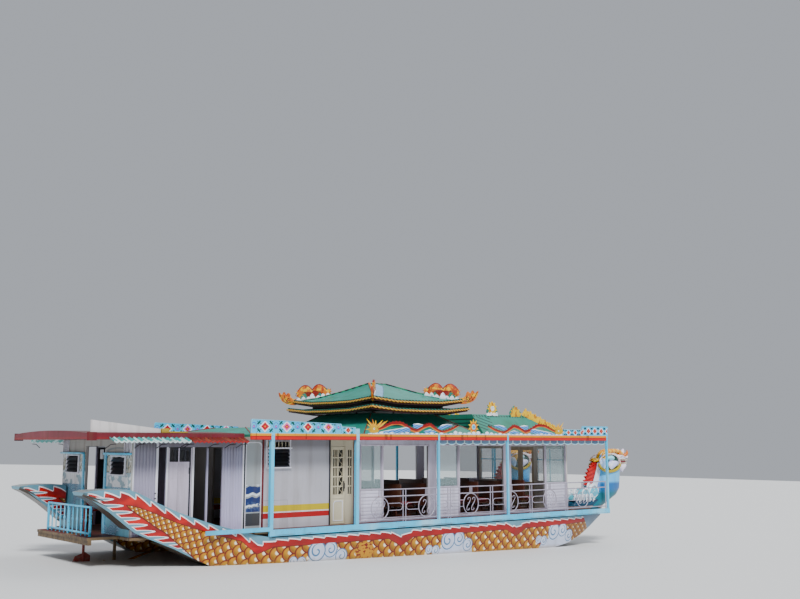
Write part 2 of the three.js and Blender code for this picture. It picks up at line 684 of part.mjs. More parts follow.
// columns: distance from the pearl, height over the fascia
const DRAGON_SPINE = [
  [570, 235], [850, 130], [1190, 60], [1450, 150], [1620, 235], [1850, 190],
  [2090, 70], [2300, 110], [2680, 285], [3000, 240], [3330, 110],
];
const DRAGON_WINGS = [[1380, 110], [2250, 90]];
function ribbon(points, width) {
  const curve = new THREE.SplineCurve(points.map(([u, v]) => new THREE.Vector2(u, v)));
  const steps = 18;
  const edge = (side) => range(steps + 1, (k) => {
    const t = k / steps;
    const at = curve.getPoint(t);
    const along = curve.getTangent(t);
    const half = side * width(t) / 2;
    return [at.x - along.y * half, at.y + along.x * half];
  });
  return [...edge(1), ...edge(-1).reverse()];
}

function mane(u, v, radius, spikes) {
  return range(spikes * 2, (k) => {
    const angle = (Math.PI * k) / spikes;
    const reach = k % 2 === 0 ? radius : radius * 0.45;
    return [u + reach * Math.cos(angle), v + reach * Math.sin(angle) * 0.9];
  });
}

function eaveDragon(side) {
  const toPlate = (outline) => (
    sidePlate(outline.map(([u, v]) => [PEARL_X + side * u, EAVE_TOP + v]), EAVE_PLATE)
  );
  const body = toPlate(ribbon(DRAGON_SPINE, (t) => 30 + 55 * Math.sin(Math.PI * Math.min(1, t + 0.1))));
  const head = toPlate(mane(3470, 175, 225, 9));
  const wings = DRAGON_WINGS.map(([u, v]) => (
    toPlate([[u - 190, v], [u - 60, v + 110], [u + 250, v + 150], [u + 120, v - 20]])
  ));
  return [body, head, ...wings].map((piece) => outward(bare(piece)));
}

const CLOUD = { end: 3720, bumps: 31, low: 45, high: 85 };
function eaveDragons() {
  const { end, bumps, low, high } = CLOUD;
  const step = (2 * end) / bumps;
  const top = range(bumps * 2, (k) => (
    [PEARL_X + end - k * (step / 2), EAVE_TOP + (k % 2 === 0 ? low : high)]
  ));
  const cloud = sidePlate([[PEARL_X - end, EAVE_TOP], [PEARL_X + end, EAVE_TOP], ...top], EAVE_PLATE);
  const pearl = sidePlate(mane(PEARL_X, EAVE_TOP + 230, 250, 11), EAVE_PLATE);
  const below = block([-3000, 6000], [-2600, -2400], [3200, EAVE_TOP]);
  return cut(join(cloud, pearl, ...eaveDragon(1), ...eaveDragon(-1)), below);
}

// Green hipped roofs: low over the store, a skirt under the pavilion, and the forward roof
const EAVE_EDGE = 60;
function hipRoof({ x0, x1, half, topX0, topX1, topHalf, top }) {
  const ring = (a, b, c, z) => [[a, -c, z], [b, -c, z], [b, c, z], [a, c, z]];
  return loft([
    ring(x0, x1, half, CEILING_TOP), ring(x0, x1, half, CEILING_TOP + EAVE_EDGE),
    ring(topX0, topX1, topHalf, top),
  ]);
}

const STORE_ROOF = { x0: -5540, x1: -1990, half: 2430, topX0: -4700, topX1: -1990, topHalf: 760, top: 3560 };
const SKIRT = { x0: -1980, x1: 2330, half: 2070, topX0: -1000, topX1: 1300, topHalf: 1150, top: 3980 };
const FORWARD = { x0: 2420, x1: 5910, half: 2070, topX0: 2430, topX1: 4610, topHalf: 1520, top: 4010 };

// Pavilion: lower eave, dark clerestory and upper eave with turned-up corners
const EAVE_SAMPLES = 4;
function eaveRing(halfX, halfY, z, lift) {
  const corner = (t) => lift * Math.abs(t) ** 3;
  const along = range(EAVE_SAMPLES, (k) => -1 + (2 * k) / EAVE_SAMPLES);
  return [
    ...along.map((t) => [t * halfX, -halfY, z + corner(t)]),
    ...along.map((t) => [halfX, t * halfY, z + corner(t)]),
    ...along.map((t) => [-t * halfX, halfY, z + corner(t)]),
    ...along.map((t) => [-halfX, -t * halfY, z + corner(t)]),
  ];
}

const PAVILION_LOW = { halfX: 1760, halfY: 2000, z: 3990 };
const PAVILION_TOP = { halfX: 1650, halfY: 1900, z: 4225 };
const RIDGE_HALF = 300;
const APEX = 4860;

function pavilionBase() {
  return block([PAVILION_X - 1000, PAVILION_X + 1000], [-1120, 1120], [SKIRT.top, 4040]);
}

function pavilionLower() {
  const { halfX, halfY, z } = PAVILION_LOW;
  return loft([
    eaveRing(1000, 1120, 4040, 0),
    eaveRing(halfX - 40, halfY - 40, z, 95), eaveRing(halfX, halfY, z + 45, 95),
    eaveRing(halfX - 260, halfY - 260, z + 110, 45), eaveRing(1300, 1500, 4160, 0),
  ]).translate(PAVILION_X, 0, 0);
}

function clerestory() {
  return block([PAVILION_X - 1250, PAVILION_X + 1250], [-1450, 1450], [4160, 4260]);
}

function pavilionUpper() {
  const { halfX, halfY, z } = PAVILION_TOP;
  const rings = [
    eaveRing(1250, 1450, 4260, 0),
    eaveRing(halfX - 40, halfY - 40, z, 95), eaveRing(halfX, halfY, z + 45, 95),
    eaveRing(1200, 1330, 4425, 20), eaveRing(760, 720, 4620, 5), eaveRing(RIDGE_HALF, 20, APEX, 0),
  ];
  const roof = loft(rings);
  const corners = [[1, 1], [1, -1], [-1, 1], [-1, -1]];
  const hip = Math.hypot(halfX, halfY);
  const ornaments = corners.flatMap(([sx, sy]) => {
    const turn = Math.atan2(sy * halfY, sx * halfX);
    return [hipPlate(curlOutline(hip), turn), hipPlate(hipDragonOutline(hip), turn)];
  });
  return join(roof, ...ornaments).translate(PAVILION_X, 0, 0);
}

function hipPlate(outline, turn) {
  return sidePlate(outline, [-18, 18]).rotateZ(turn);
}

function curlOutline(hip) {
  const z = PAVILION_TOP.z + 60;
  return [
    [hip - 160, z + 20], [hip - 20, z - 10], [hip + 140, z + 20], [hip + 290, z + 110], [hip + 380, z + 230],
    [hip + 410, z + 350], [hip + 310, z + 290], [hip + 260, z + 370], [hip + 190, z + 290],
    [hip + 110, z + 340], [hip + 50, z + 210], [hip - 40, z + 150], [hip - 150, z + 150],
  ];
}

function hipDragonOutline(hip) {
  const z = PAVILION_TOP.z;
  return [
    [hip - 1180, z + 270], [hip - 130, z + 60], [hip - 200, z + 260], [hip - 120, z + 400],
    [hip - 230, z + 500], [hip - 380, z + 570], [hip - 520, z + 540], [hip - 620, z + 440],
    [hip - 720, z + 520], [hip - 880, z + 590], [hip - 1020, z + 540], [hip - 1120, z + 470],
  ];
}

// Flame crest and pearl on the forward roof
function forwardRoof() {
  const roof = hipRoof(FORWARD);
  const y = [-1560, -1524];
  const crest = sidePlate([
    [3050, 3950], [3420, 3950], [3460, 4110], [3380, 4260], [3240, 4330], [3110, 4260], [3020, 4120],
  ], y);
  const flame = sidePlate([
    [4020, 3950], [4420, 3950], [4480, 4080], [4330, 4200], [4180, 4290], [4080, 4200], [3990, 4090],
  ], y);
  const both = [crest, flame].flatMap((piece) => [piece, mirrored(piece)]);
  return join(roof, ...both);
}

// White panel standing on the stern roof edge, lower towards the bow
function roofPanel() {
  return sidePlate([[-9290, 3386], [-7690, 3386], [-7690, 3480], [-9290, 3660]], [-2140, -2110]);
}

// Bow dragon: neck out of a bed of waves, head with jaws, fin, crown, horns and beard
const HEAD_Y = -1960;
const NECK = [
  { z: 1150, x: 7000, along: 420, across: 205 },
  { z: 1350, x: 7330, along: 520, across: 210 },
  { z: 1550, x: 7680, along: 600, across: 205 },
  { z: 1750, x: 7760, along: 640, across: 200 },
  { z: 1950, x: 7740, along: 660, across: 195 },
  { z: 2200, x: 7800, along: 620, across: 190 },
  { z: 2450, x: 7850, along: 550, across: 185 },
];
const NECK_SIDES = 14;
function neckRing({ z, x, along, across }) {
  return range(NECK_SIDES, (k) => {
    const angle = (2 * Math.PI * k) / NECK_SIDES;
    return [x + along * Math.cos(angle), HEAD_Y + across * Math.sin(angle), z];
  });
}

// A plate in the middle plane of the figure
function midPlate(outline, halfThick) {
  return sidePlate(outline, [HEAD_Y - halfThick, HEAD_Y + halfThick]);
}

function waveBed() {
  return midPlate([
    [6130, 1150], [7400, 1150], [7600, 1400], [7590, 1640], [7480, 1780], [7330, 1890], [7180, 1850],
    [7080, 1700], [6960, 1760], [6780, 1800], [6600, 1700], [6480, 1740], [6300, 1640], [6160, 1450],
  ], 230);
}

function ball(x, y, z, rx, ry, rz) {
  return new THREE.SphereGeometry(1, 14, 9).scale(rx, ry, rz).translate(x, y, z);
}

const CHEEK_OUT = 170;
function dragonHead() {
  const neck = loft(NECK.map(neckRing));
  const skull = ball(8000, HEAD_Y, 2580, 580, 235, 330);
  const cheeks = [HEAD_Y - CHEEK_OUT, HEAD_Y + CHEEK_OUT].flatMap((y) => [
    ball(7610, y, 2508, 175, 105, 180),
    ball(8080, y, 2472, 260, 105, 150),
    ball(7980, y, 2706, 180, 95, 110),
  ]);
  const snout = loft([
    snoutRing(8400, 2640, 170, 130), snoutRing(8620, 2650, 140, 105),
    snoutRing(8800, 2665, 125, 95), snoutRing(8900, 2670, 85, 65),
  ]);
  const jaw = loft([
    snoutRing(8380, 2470, 140, 65), snoutRing(8620, 2450, 115, 50), snoutRing(8780, 2465, 80, 38),
  ]);
  const fin = midPlate([
    [7600, 1800], [7000, 1840], [6760, 1960], [6920, 1990], [6840, 2110], [7000, 2140], [6930, 2270],
    [7090, 2300], [7040, 2420], [7180, 2440], [7190, 2550], [7340, 2560], [7420, 2620], [7700, 2600],
  ], 35);
  const crown = midPlate([
    [7480, 2520], [7320, 2590], [7170, 2660], [7380, 2700], [7460, 2790], [7560, 2870], [7680, 2920],
    [7800, 2985], [7930, 2960], [8060, 2990], [8200, 2960], [8340, 2985], [8460, 2940], [8560, 2880],
    [8500, 2760], [8000, 2700],
  ], 70);
  const horns = midPlate([
    [8520, 2680], [8640, 2830], [8700, 2985], [8760, 2880], [8780, 2790], [8840, 2830],
    [8930, 2900], [8940, 2800], [8880, 2680],
  ], 50);
  const beard = midPlate([
    [8420, 2450], [8400, 2330], [8470, 2240], [8560, 2300], [8650, 2270], [8720, 2450],
  ], 45);
  return join(neck, waveBed(), skull, ...cheeks, snout, jaw, fin, crown, horns, beard);
}

function snoutRing(x, z, halfWide, halfHigh) {
  return range(10, (k) => {
    const angle = (2 * Math.PI * k) / 10;
    return [x, HEAD_Y + halfWide * Math.cos(angle), z + halfHigh * Math.sin(angle)];
  });
}

// The boat, from the water up
placePair("hull", hull(), GOLD, 0.35);
place("deck_platform", deck(), MAROON, 0.7);
place("engine_block", engine(), 0x55605a, 0.6, 0.4);
place("propeller", propeller(), 0xb08a3c, 0.35, 0.9);
place("rudder", rudder(), MAROON, 0.6, 0.3);
placePair("side_frame", sideFrame(), SKY_BLUE, 0.4);
placePair("railing", railing(), RAIL_GREY, 0.35, 0.6);
place("stern_balustrade", sternBalustrade(), SKY_BLUE, 0.4);
place("stern_wall", sternWall(), SKY_BLUE, 0.5);
placePair("stern_side_wall", sternSideWall(), PALE_GREY, 0.4, 0.2);
placePair("mid_side_wall", midSideWall(), PALE_GREY, 0.4, 0.2);
placePair("grille_door", grilleDoor(), PALE_GREY, 0.4, 0.3);
placePair("store_wall", storeWall(), PALE_GREY, 0.5);
placePair("side_door", sideDoor(), 0xb5a692, 0.5);
placePair("saloon_wall", saloonWall(), PALE_GREY, 0.45, 0.2);
BAYS.filter((bay) => bay.glazed).forEach((bay, k) => {
  placePair(`window_pane_${k + 1}`, bayPane(bay), 0xcfe0e6, 0.05);
});
place("galley_partition", partition(GALLEY_FRONT), PALE_GREY, 0.6);
place("saloon_partition", partition(SALOON_AFT + 20), PALE_GREY, 0.6);
place("front_wall", frontWall(), PALE_GREY, 0.5);
placePair("front_door", frontDoor(), 0xb5a692, 0.5);
placePair("seat_bank", seatBank(), MAROON, 0.7);
place("ceiling", ceiling(), PALE_GREY, 0.6);
place("stern_roof", sternRoof(), MAROON, 0.6);
placePair("stern_awning", awning(-8900, -7100), 0x5ab09a, 0.6);
placePair("mid_awning", awning(-7060, -5620), MAROON, 0.6);
place("roof_panel", roofPanel(), 0xe6e6e6, 0.5);
placePair("side_eave_board", sideEaveBoard(), YELLOW, 0.4);
place("bow_eave_board", bowEaveBoard(), YELLOW, 0.4);
placePair("valance", valance(), 0x8fb0c8, 0.5);
placePair("eave_dragons", eaveDragons(), 0xc8281e, 0.4);
place("store_roof", hipRoof(STORE_ROOF), ROOF_GREEN, 0.5);
place("skirt_roof", hipRoof(SKIRT), ROOF_GREEN, 0.5);
place("forward_roof", forwardRoof(), ROOF_GREEN, 0.5);
place("pavilion_base", pavilionBase(), DARK, 0.7);
place("pavilion_lower_roof", pavilionLower(), ROOF_GREEN, 0.5);
place("clerestory", clerestory(), DARK, 0.7);
place("pavilion_upper_roof", pavilionUpper(), ROOF_GREEN, 0.5);
placePair("dragon_head", dragonHead(), 0x82b9dc, 0.4);

export default boat;
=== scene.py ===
import math

import bpy
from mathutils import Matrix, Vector


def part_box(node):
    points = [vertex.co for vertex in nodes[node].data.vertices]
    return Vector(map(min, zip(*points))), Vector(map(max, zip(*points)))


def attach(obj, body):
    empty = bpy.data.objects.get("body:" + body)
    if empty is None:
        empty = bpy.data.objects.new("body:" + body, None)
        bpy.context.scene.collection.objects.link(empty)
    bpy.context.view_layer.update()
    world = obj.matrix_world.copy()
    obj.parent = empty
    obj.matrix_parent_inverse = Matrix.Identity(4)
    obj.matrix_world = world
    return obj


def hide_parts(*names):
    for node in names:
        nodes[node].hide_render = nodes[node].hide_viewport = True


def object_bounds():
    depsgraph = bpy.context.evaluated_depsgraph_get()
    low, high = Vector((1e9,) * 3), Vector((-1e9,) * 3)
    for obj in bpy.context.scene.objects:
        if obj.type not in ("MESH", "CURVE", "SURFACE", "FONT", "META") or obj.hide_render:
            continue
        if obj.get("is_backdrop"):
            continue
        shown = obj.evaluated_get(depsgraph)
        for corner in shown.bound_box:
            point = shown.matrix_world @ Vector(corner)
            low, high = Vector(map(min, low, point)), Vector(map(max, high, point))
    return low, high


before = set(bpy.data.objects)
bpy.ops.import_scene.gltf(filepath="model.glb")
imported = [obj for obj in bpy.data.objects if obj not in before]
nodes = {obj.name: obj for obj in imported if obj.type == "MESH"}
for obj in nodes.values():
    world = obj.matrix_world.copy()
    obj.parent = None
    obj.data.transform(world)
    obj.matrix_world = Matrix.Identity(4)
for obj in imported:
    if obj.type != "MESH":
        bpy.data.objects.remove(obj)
cad_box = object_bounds()


# The stand: the boat lies in still water, trimmed a little by the stern. The floor stands for the water, so
# it is laid at the waterline and cuts the hulls there. The camera is low on the starboard quarter. Lengths
# along the boat are given as stations. Station zero lies this far forward of the middle of the length.
STATION_ZERO = 0.235
CAMERA_AT = (STATION_ZERO - 17.74, -22.46, 3.154)
CAMERA_HEADING = (0.64, 0.768)
CAMERA_PITCH = math.radians(8.3)
CAMERA_LENS = 44.5
WATERLINE_POINT = (STATION_ZERO - 4.99, 0.0, 0.4)
TRIM = math.radians(1.6)

heading = Vector((*CAMERA_HEADING, 0.0)).normalized() * math.cos(CAMERA_PITCH)
heading.z = math.sin(CAMERA_PITCH)
camera_data = bpy.data.cameras.new("camera")
camera_data.lens = CAMERA_LENS
camera_data.sensor_width = 36.0
camera = bpy.data.objects.new("camera", camera_data)
camera.location = CAMERA_AT
camera.rotation_euler = heading.to_track_quat("-Z", "Y").to_euler()
bpy.context.scene.collection.objects.link(camera)
bpy.context.scene.camera = camera

bpy.ops.object.select_all(action="DESELECT")
bpy.ops.mesh.primitive_plane_add(size=400, location=WATERLINE_POINT, rotation=(0, TRIM, 0))
floor = bpy.context.object
floor.name = "studio_floor"
floor_finish = bpy.data.materials.new("floor_pale")
floor_finish.use_nodes = True
floor_shader = floor_finish.node_tree.nodes["Principled BSDF"]
floor_shader.inputs["Base Color"].default_value = (0.72, 0.73, 0.73, 1)
floor_shader.inputs["Roughness"].default_value = 0.6
floor.data.materials.append(floor_finish)
floor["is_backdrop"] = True

studio = bpy.data.worlds.new("studio")
studio.use_nodes = True
sky = studio.node_tree.nodes["Background"]
sky.inputs["Color"].default_value = (0.86, 0.91, 1.0, 1)
sky.inputs["Strength"].default_value = 0.5
bpy.context.scene.world = studio

# columns: name, direction the light comes from, strength, apparent size in radians
for name, source, strength, size in (
    ("key_light", (-0.5, -0.9, 1.1), 3.9, 0.25), ("bow_light", (0.9, 0.3, 0.9), 0.9, 0.8),
):
    lamp = bpy.data.lights.new(name, "SUN")
    lamp.energy = strength
    lamp.angle = size
    holder = bpy.data.objects.new(name, lamp)
    holder.rotation_euler = Vector(source).to_track_quat("Z", "Y").to_euler()
    bpy.context.scene.collection.objects.link(holder)


# Hulls: steel-bottomed wooden hulls painted as a dragon's body. Flames run along the rising tail, gold scales
# cover the sides, a crimson saw-toothed band follows the sheer, and swirled clouds stand among the scales.
def shade(red, green, blue):
    """A paint colour, given as it looks, in the linear light that shaders work in. Studio light pales
    colours and turns reds to orange, so they are deepened first, and reds most."""
    light = [c / 255 for c in (red, green, blue)]
    light = [c / 12.92 if c <= 0.04045 else ((c + 0.055) / 1.055) ** 2.4 for c in light]
    grey = 0.21 * light[0] + 0.72 * light[1] + 0.07 * light[2]
    deep = [min(1.0, max(c * 0.35, grey + (c - grey) * 1.45)) for c in light]
    redness = max(0.0, deep[0] - max(deep[1:])) / max(deep)
    return tuple(c * (1.0 - 0.4 * redness) for c in deep) + (1.0,)


def feed(tree, value, entry):
    """Sets an input, or links it where other nodes work the value out. Three numbers are a paint colour."""
    value = value.socket if isinstance(value, Value) else value
    if isinstance(value, bpy.types.NodeSocket):
        tree.links.new(value, entry)
    else:
        entry.default_value = shade(*value) if isinstance(value, tuple) else value


class Value:
    """A number that changes over a surface. Plain arithmetic on it adds shader nodes."""

    def __init__(self, tree, socket):
        self.tree = tree
        self.socket = socket

    def apply(self, operation, *others, clamp=False):
        node = self.tree.nodes.new("ShaderNodeMath")
        node.operation = operation
        node.use_clamp = clamp
        for entry, value in zip(node.inputs, (self, *others)):
            feed(self.tree, value, entry)
        return Value(self.tree, node.outputs[0])

    def from_(self, whole):
        """The rest of a whole: whole minus this value."""
        return self.apply("MULTIPLY_ADD", -1.0, whole)

    def ramp(self, low, high):
        """0 at low, 1 at high, straight between them."""
        return self.apply("MULTIPLY_ADD", 1 / (high - low), -low / (high - low), clamp=True)

    def within(self, low, high):
        return self.over(low) * self.under(high)

    def reach(self, other):
        """How far a point at this value and the other one is from zero."""
        return (self * self + other * other).root()

    def along(self, points):
        """A line of straight runs through (this value, result) points."""
        (first, _), (last, _) = points[0], points[-1]
        low = min(result for _, result in points)
        high = max(result for _, result in points)
        rise = max(high - low, 1e-6)
        node = self.tree.nodes.new("ShaderNodeFloatCurve")
        line = node.mapping.curves[0]
        spots = [((at - first) / (last - first), (result - low) / rise) for at, result in points]
        line.points[0].location = spots[0]
        line.points[1].location = spots[-1]
        for spot in spots[1:-1]:
            line.points.new(*spot)
        for point in line.points:
            point.handle_type = "VECTOR"
        node.mapping.update()
        feed(self.tree, self.ramp(first, last), node.inputs["Value"])
        return Value(self.tree, node.outputs[0]).apply("MULTIPLY_ADD", rise, low)


def math_step(operation):
    return lambda value, *others: value.apply(operation, *others)


# "part" is what is left over a whole number, and "size" leaves out the sign.
for word, operation in {
    "__add__": "ADD", "__sub__": "SUBTRACT", "__mul__": "MULTIPLY", "__truediv__": "DIVIDE", "floor": "FLOOR",
    "part": "FRACT", "size": "ABSOLUTE", "root": "SQRT", "power": "POWER", "least": "MINIMUM",
    "most": "MAXIMUM",
    "under": "LESS_THAN", "over": "GREATER_THAN",
}.items():
    setattr(Value, word, math_step(operation))


def noise_at(tree, place, scale, detail=3.0, stretch=(1, 1, 1)):
    """Soft blots over a place. They are drawn out on an axis where stretch is small."""
    mapping = tree.nodes.new("ShaderNodeMapping")
    mapping.inputs["Scale"].default_value = stretch
    texture = tree.nodes.new("ShaderNodeTexNoise")
    texture.inputs["Scale"].default_value = scale
    texture.inputs["Detail"].default_value = detail
    tree.links.new(place, mapping.inputs["Vector"])
    tree.links.new(mapping.outputs["Vector"], texture.inputs["Vector"])
    return Value(tree, texture.outputs["Fac"])


def mixed(tree, under, over, mask):
    """The socket of one colour laid over another by a mask."""
    node = tree.nodes.new("ShaderNodeMix")
    node.data_type = "RGBA"
    for value, entry in ((mask, 0), (under, 6), (over, 7)):
        feed(tree, value, node.inputs[entry])
    return node.outputs[2]


def new_group(name, inputs, outputs):
    """A node group: its nodes, the values that enter and its exit. Color and Grime are colours."""
    group = bpy.data.node_groups.new(name, "ShaderNodeTree")
    for in_out, titles in (("INPUT", inputs), ("OUTPUT", outputs)):
        for title in titles:
            kind = "NodeSocketColor" if title in ("Color", "Grime") else "NodeSocketFloat"
            group.interface.new_socket(title, in_out=in_out, socket_type=kind)
    entry, leave = group.nodes.new("NodeGroupInput"), group.nodes.new("NodeGroupOutput")
    return group, [Value(group, entry.outputs[k]) for k in range(len(inputs))], leave


def weather_group():
    """Sun-faded patches, grime that runs down, and fine brush texture, for every painted or plated
    surface."""
    group, entries, leave = new_group(
        "paint_weather", ("Color", "Grime", "Amount", "Gloss"), ("Color", "Roughness", "Height")
    )
    color, grime, amount, gloss = entries
    place = group.nodes.new("ShaderNodeTexCoord").outputs["Object"]
    broad = noise_at(group, place, 0.9, 5)
    streaks = noise_at(group, place, 5.0, 7, (1, 1, 0.12))
    brush = noise_at(group, place, 70.0, 4)
    fade = group.nodes.new("ShaderNodeHueSaturation")
    feed(group, broad * 0.35 + 0.83, fade.inputs["Value"])
    feed(group, color, fade.inputs["Color"])
    grimy = streaks.ramp(0.5, 0.78) * amount
    for title, value in (
        ("Color", mixed(group, fade.outputs["Color"], grime, grimy)),
        ("Roughness", gloss + grimy * 0.4 + brush * 0.08), ("Height", brush + broad * 2.0),
    ):
        feed(group, value, leave.inputs[title])


weather_group()
GRIME = (96, 84, 70)


class Paint:
    """A finish of one piece: colours laid over each other, each by a mask worked out from the place."""

    def __init__(self, name, color, gloss=0.35, metal=0.0):
        self.material = bpy.data.materials.new(name)
        self.material.use_nodes = True
        self.tree = self.material.node_tree
        self.shader = self.tree.nodes["Principled BSDF"]
        self.shader.inputs["Metallic"].default_value = metal
        self.color = color
        self.gloss = gloss
        spot = self.tree.nodes.new("ShaderNodeTexCoord")
        self.place = spot.outputs["Object"]
        self.x, self.y, self.z = self.split(self.place)
        self.x = self.x - STATION_ZERO
        self.facing = self.split(spot.outputs["Normal"])

    def split(self, vector):
        node = self.tree.nodes.new("ShaderNodeSeparateXYZ")
        self.tree.links.new(vector, node.inputs[0])
        return self.values(node)

    def values(self, node):
        return [Value(self.tree, output) for output in node.outputs]

    def blend(self, under, over, mask):
        return mixed(self.tree, under, over, mask)

    def lay(self, color, mask):
        self.color = self.blend(self.color, color, mask)

    def noise(self, scale, detail=3.0, stretch=(1, 1, 1)):
        return noise_at(self.tree, self.place, scale, detail, stretch)

    def group(self, name, *entries):
        """What a shared node group makes of the entries."""
        node = self.tree.nodes.new("ShaderNodeGroup")
        node.node_tree = bpy.data.node_groups[name]
        for entry, value in zip(node.inputs, entries):
            feed(self.tree, value, entry)
        return self.values(node)

    def dry(self, grime=0.35, relief=0.0015, height=None, grime_color=GRIME):
        """Adds the weather and joins everything to the shader."""
        color, rough, lift = self.group("paint_weather", self.color, grime_color, grime, self.gloss)
        feed(self.tree, color, self.shader.inputs["Base Color"])
        feed(self.tree, rough, self.shader.inputs["Roughness"])
        bump = self.tree.nodes.new("ShaderNodeBump")
        bump.inputs["Strength"].default_value = 0.35
        bump.inputs["Distance"].default_value = relief
        feed(self.tree, lift if height is None else lift * 0.3 + height, bump.inputs["Height"])
        feed(self.tree, bump.outputs["Normal"], self.shader.inputs["Normal"])
        return self.material


def coat(node_names, material):
    """Gives CAD nodes a finish of the scene."""
    for node_name in node_names:
        slots = nodes[node_name].material_slots
        if not slots:
            nodes[node_name].data.materials.append(material)
        for slot in slots:
            slot.material = material


def pair(name):
    return [f"{name}_starboard", f"{name}_port"]


def hull_lines(hull):
    """Keel and sheer heights along the hull, read from its mesh."""
    spans = {}
    for vertex in hull.data.vertices:
        at = round(vertex.co.x - STATION_ZERO, 2)
        low, high = spans.get(at, (vertex.co.z, vertex.co.z))
        spans[at] = (min(low, vertex.co.z), max(high, vertex.co.z))
    rows = sorted((at, low, high) for at, (low, high) in spans.items() if high - low > 0.04)
    return [(at, low) for at, low, _ in rows], [(at, high) for at, _, high in rows]


SCALE_REACH = 0.57
SCALE_OUTPUTS = ("Distance", "Ahead", "Above")


def scale_group():
    """Round overlapping scales with their free edge aft. Out: distance from the middle, and the place in a
    scale."""
    group, (along, across), leave = new_group("dragon_scales", ("Along", "Across"), SCALE_OUTPUTS)
    foremost = ((along + SCALE_REACH) * 2.0).floor()
    found = None
    for step in (2, 1, 0):
        column = foremost - float(step)
        ahead = along - column * 0.5
        shifted = across - (column * 0.5).part()
        above = shifted - (shifted + 0.5).floor()
        one = (ahead.reach(above), ahead, above)
        chosen = one[0].under(SCALE_REACH)
        found = [old + (new - old) * chosen for old, new in zip(found, one)] if found else one
    for value, title in zip(found, SCALE_OUTPUTS):
        feed(group, value, leave.inputs[title])


def swirl_group():
    """One round cloud lobe with a spiral line. In: place and middle in metres. Out: inside and line masks."""
    group, entries, leave = new_group(
        "cloud_swirl", ("X", "Z", "Middle X", "Middle Z", "Radius", "Turn"), ("Inside", "Line")
    )
    x, z, middle_x, middle_z, radius, turn = entries
    side = (x - middle_x) / radius * turn
    rise = (z - middle_z) / radius
    away = side.reach(rise)
    inside = away.under(1.0)
    rim = away.ramp(0.86, 0.9) * inside
    angle = rise.apply("ARCTAN2", side) / math.tau
    winding = (angle + away * 1.55 + 0.12).part()
    spiral = (winding - 0.5).size().ramp(0.16, 0.1) * away.within(0.08, 0.68)
    feed(group, inside, leave.inputs["Inside"])
    feed(group, rim.most(spiral), leave.inputs["Line"])


def value_at(points, where):
    """What a line of straight runs through (place, value) points gives at a place."""
    for (x0, v0), (x1, v1) in zip(points, points[1:]):
        if where <= x1:
            return v0 + (v1 - v0) * (where - x0) / (x1 - x0)
    return points[-1][1]


scale_group()
swirl_group()
HULL_BLUE = (112, 146, 160)
CRIMSON = (158, 20, 34)
FLAME_RED = (222, 48, 24)
OUTLINE_WHITE = (244, 238, 240)
SCALE_GOLD = (202, 156, 2)
SCALE_RIM = (112, 24, 6)
CLOUD_PALE = (206, 212, 228)
CLOUD_LINE = (74, 112, 146)
TAIL_TIP, STEM = -9.41, 7.3
WATER_HEIGHT = 0.4
# Lines along the hull, from the tail to the stem. How far the saw teeth hang, and the crimson band's lower
# edge:
TOOTH_SWING = [(TAIL_TIP, 0.13), (-7.6, 0.1), (-5.2, 0.09), (-4.8, 0.045), (7.28, 0.045)]
BAND_LOW = [
    (TAIL_TIP, 0.62), (-8.6, 0.44), (-8.5, 0.34), (-7.77, 0.25), (-6.68, 0.225), (-5, 0.225), (-4, 0.235),
    (5, 0.235), (7.28, 0.17),
]
# Height where the scales begin, middle and slope of their rows, and their pitch
SCALES_FROM = [
    (TAIL_TIP, 3), (-8.52, 1.93), (-8.4, 1.8), (-7.77, 1.372), (-7.557, 1.253), (-6.8, 0.636), (-6.3, 0.3),
    (-6, -0.2), (STEM, -0.2),
]
SCALE_MIDDLE = [
    (TAIL_TIP, 2.3), (-8.5, 1.889), (-7.77, 1.53), (-7.2, 1.22), (-6.68, 0.93), (-5.9, 0.63), (-5.2, 0.47),
    (-4.5, 0.43), (STEM, 0.43),
]
SCALE_SLOPE = [
    (TAIL_TIP, -0.47), (-8.5, -0.5), (-7.5, -0.54), (-6.8, -0.5), (-6.2, -0.38), (-5.5, -0.2), (-4.8, -0.04),
    (-4.4, 0), (STEM, 0),
]
SCALE_PITCH = [
    (TAIL_TIP, 0.07), (-8.5, 0.1), (-7.6, 0.165), (-6.2, 0.27), (-5.2, 0.32), (4, 0.32), (5, 0.25),
    (STEM, 0.2),
]
# columns: place along the pattern, height, radius, direction of the spiral
CLOUD_LOBES = [
    (-0.86, 0.4, 0.12, 1.0), (-0.62, 0.36, 0.14, -1.0), (0.54, 0.44, 0.18, -1.0), (0.2, 0.62, 0.2, -1.0),
    (-0.2, 0.6, 0.25, 1.0),
]
CLOUD_TOP = [(-0.8, 0.1), (-0.7, 0.3), (-0.42, 0.4), (-0.36, 0.6), (0.4, 0.6), (0.7, 0.36), (0.78, 0.1)]


def rounded(thick, half, long, start):
    """Reach of a finger with a round end, over its thickness."""
    return (thick / half).power(2.0).from_(1.0).most(0.0).root() * long + start


def scale_rows(x, z):
    """Place of a point in the rows of scales, along and across them, in scales."""
    count, steps, walked = 48, [], 0.0
    for k in range(count + 1):
        where = TAIL_TIP + (STEM - TAIL_TIP) * k / count
        steps.append((where, walked))
        long = (STEM - TAIL_TIP) / count * math.hypot(1.0, value_at(SCALE_SLOPE, where))
        walked += long / (value_at(SCALE_PITCH, where) * 1.12)
    off_middle = z - x.along(SCALE_MIDDLE)
    foot = x + off_middle * x.along([(where, m / (1 + m * m)) for where, m in SCALE_SLOPE])
    return foot.along(steps), off_middle / foot.along(SCALE_PITCH)


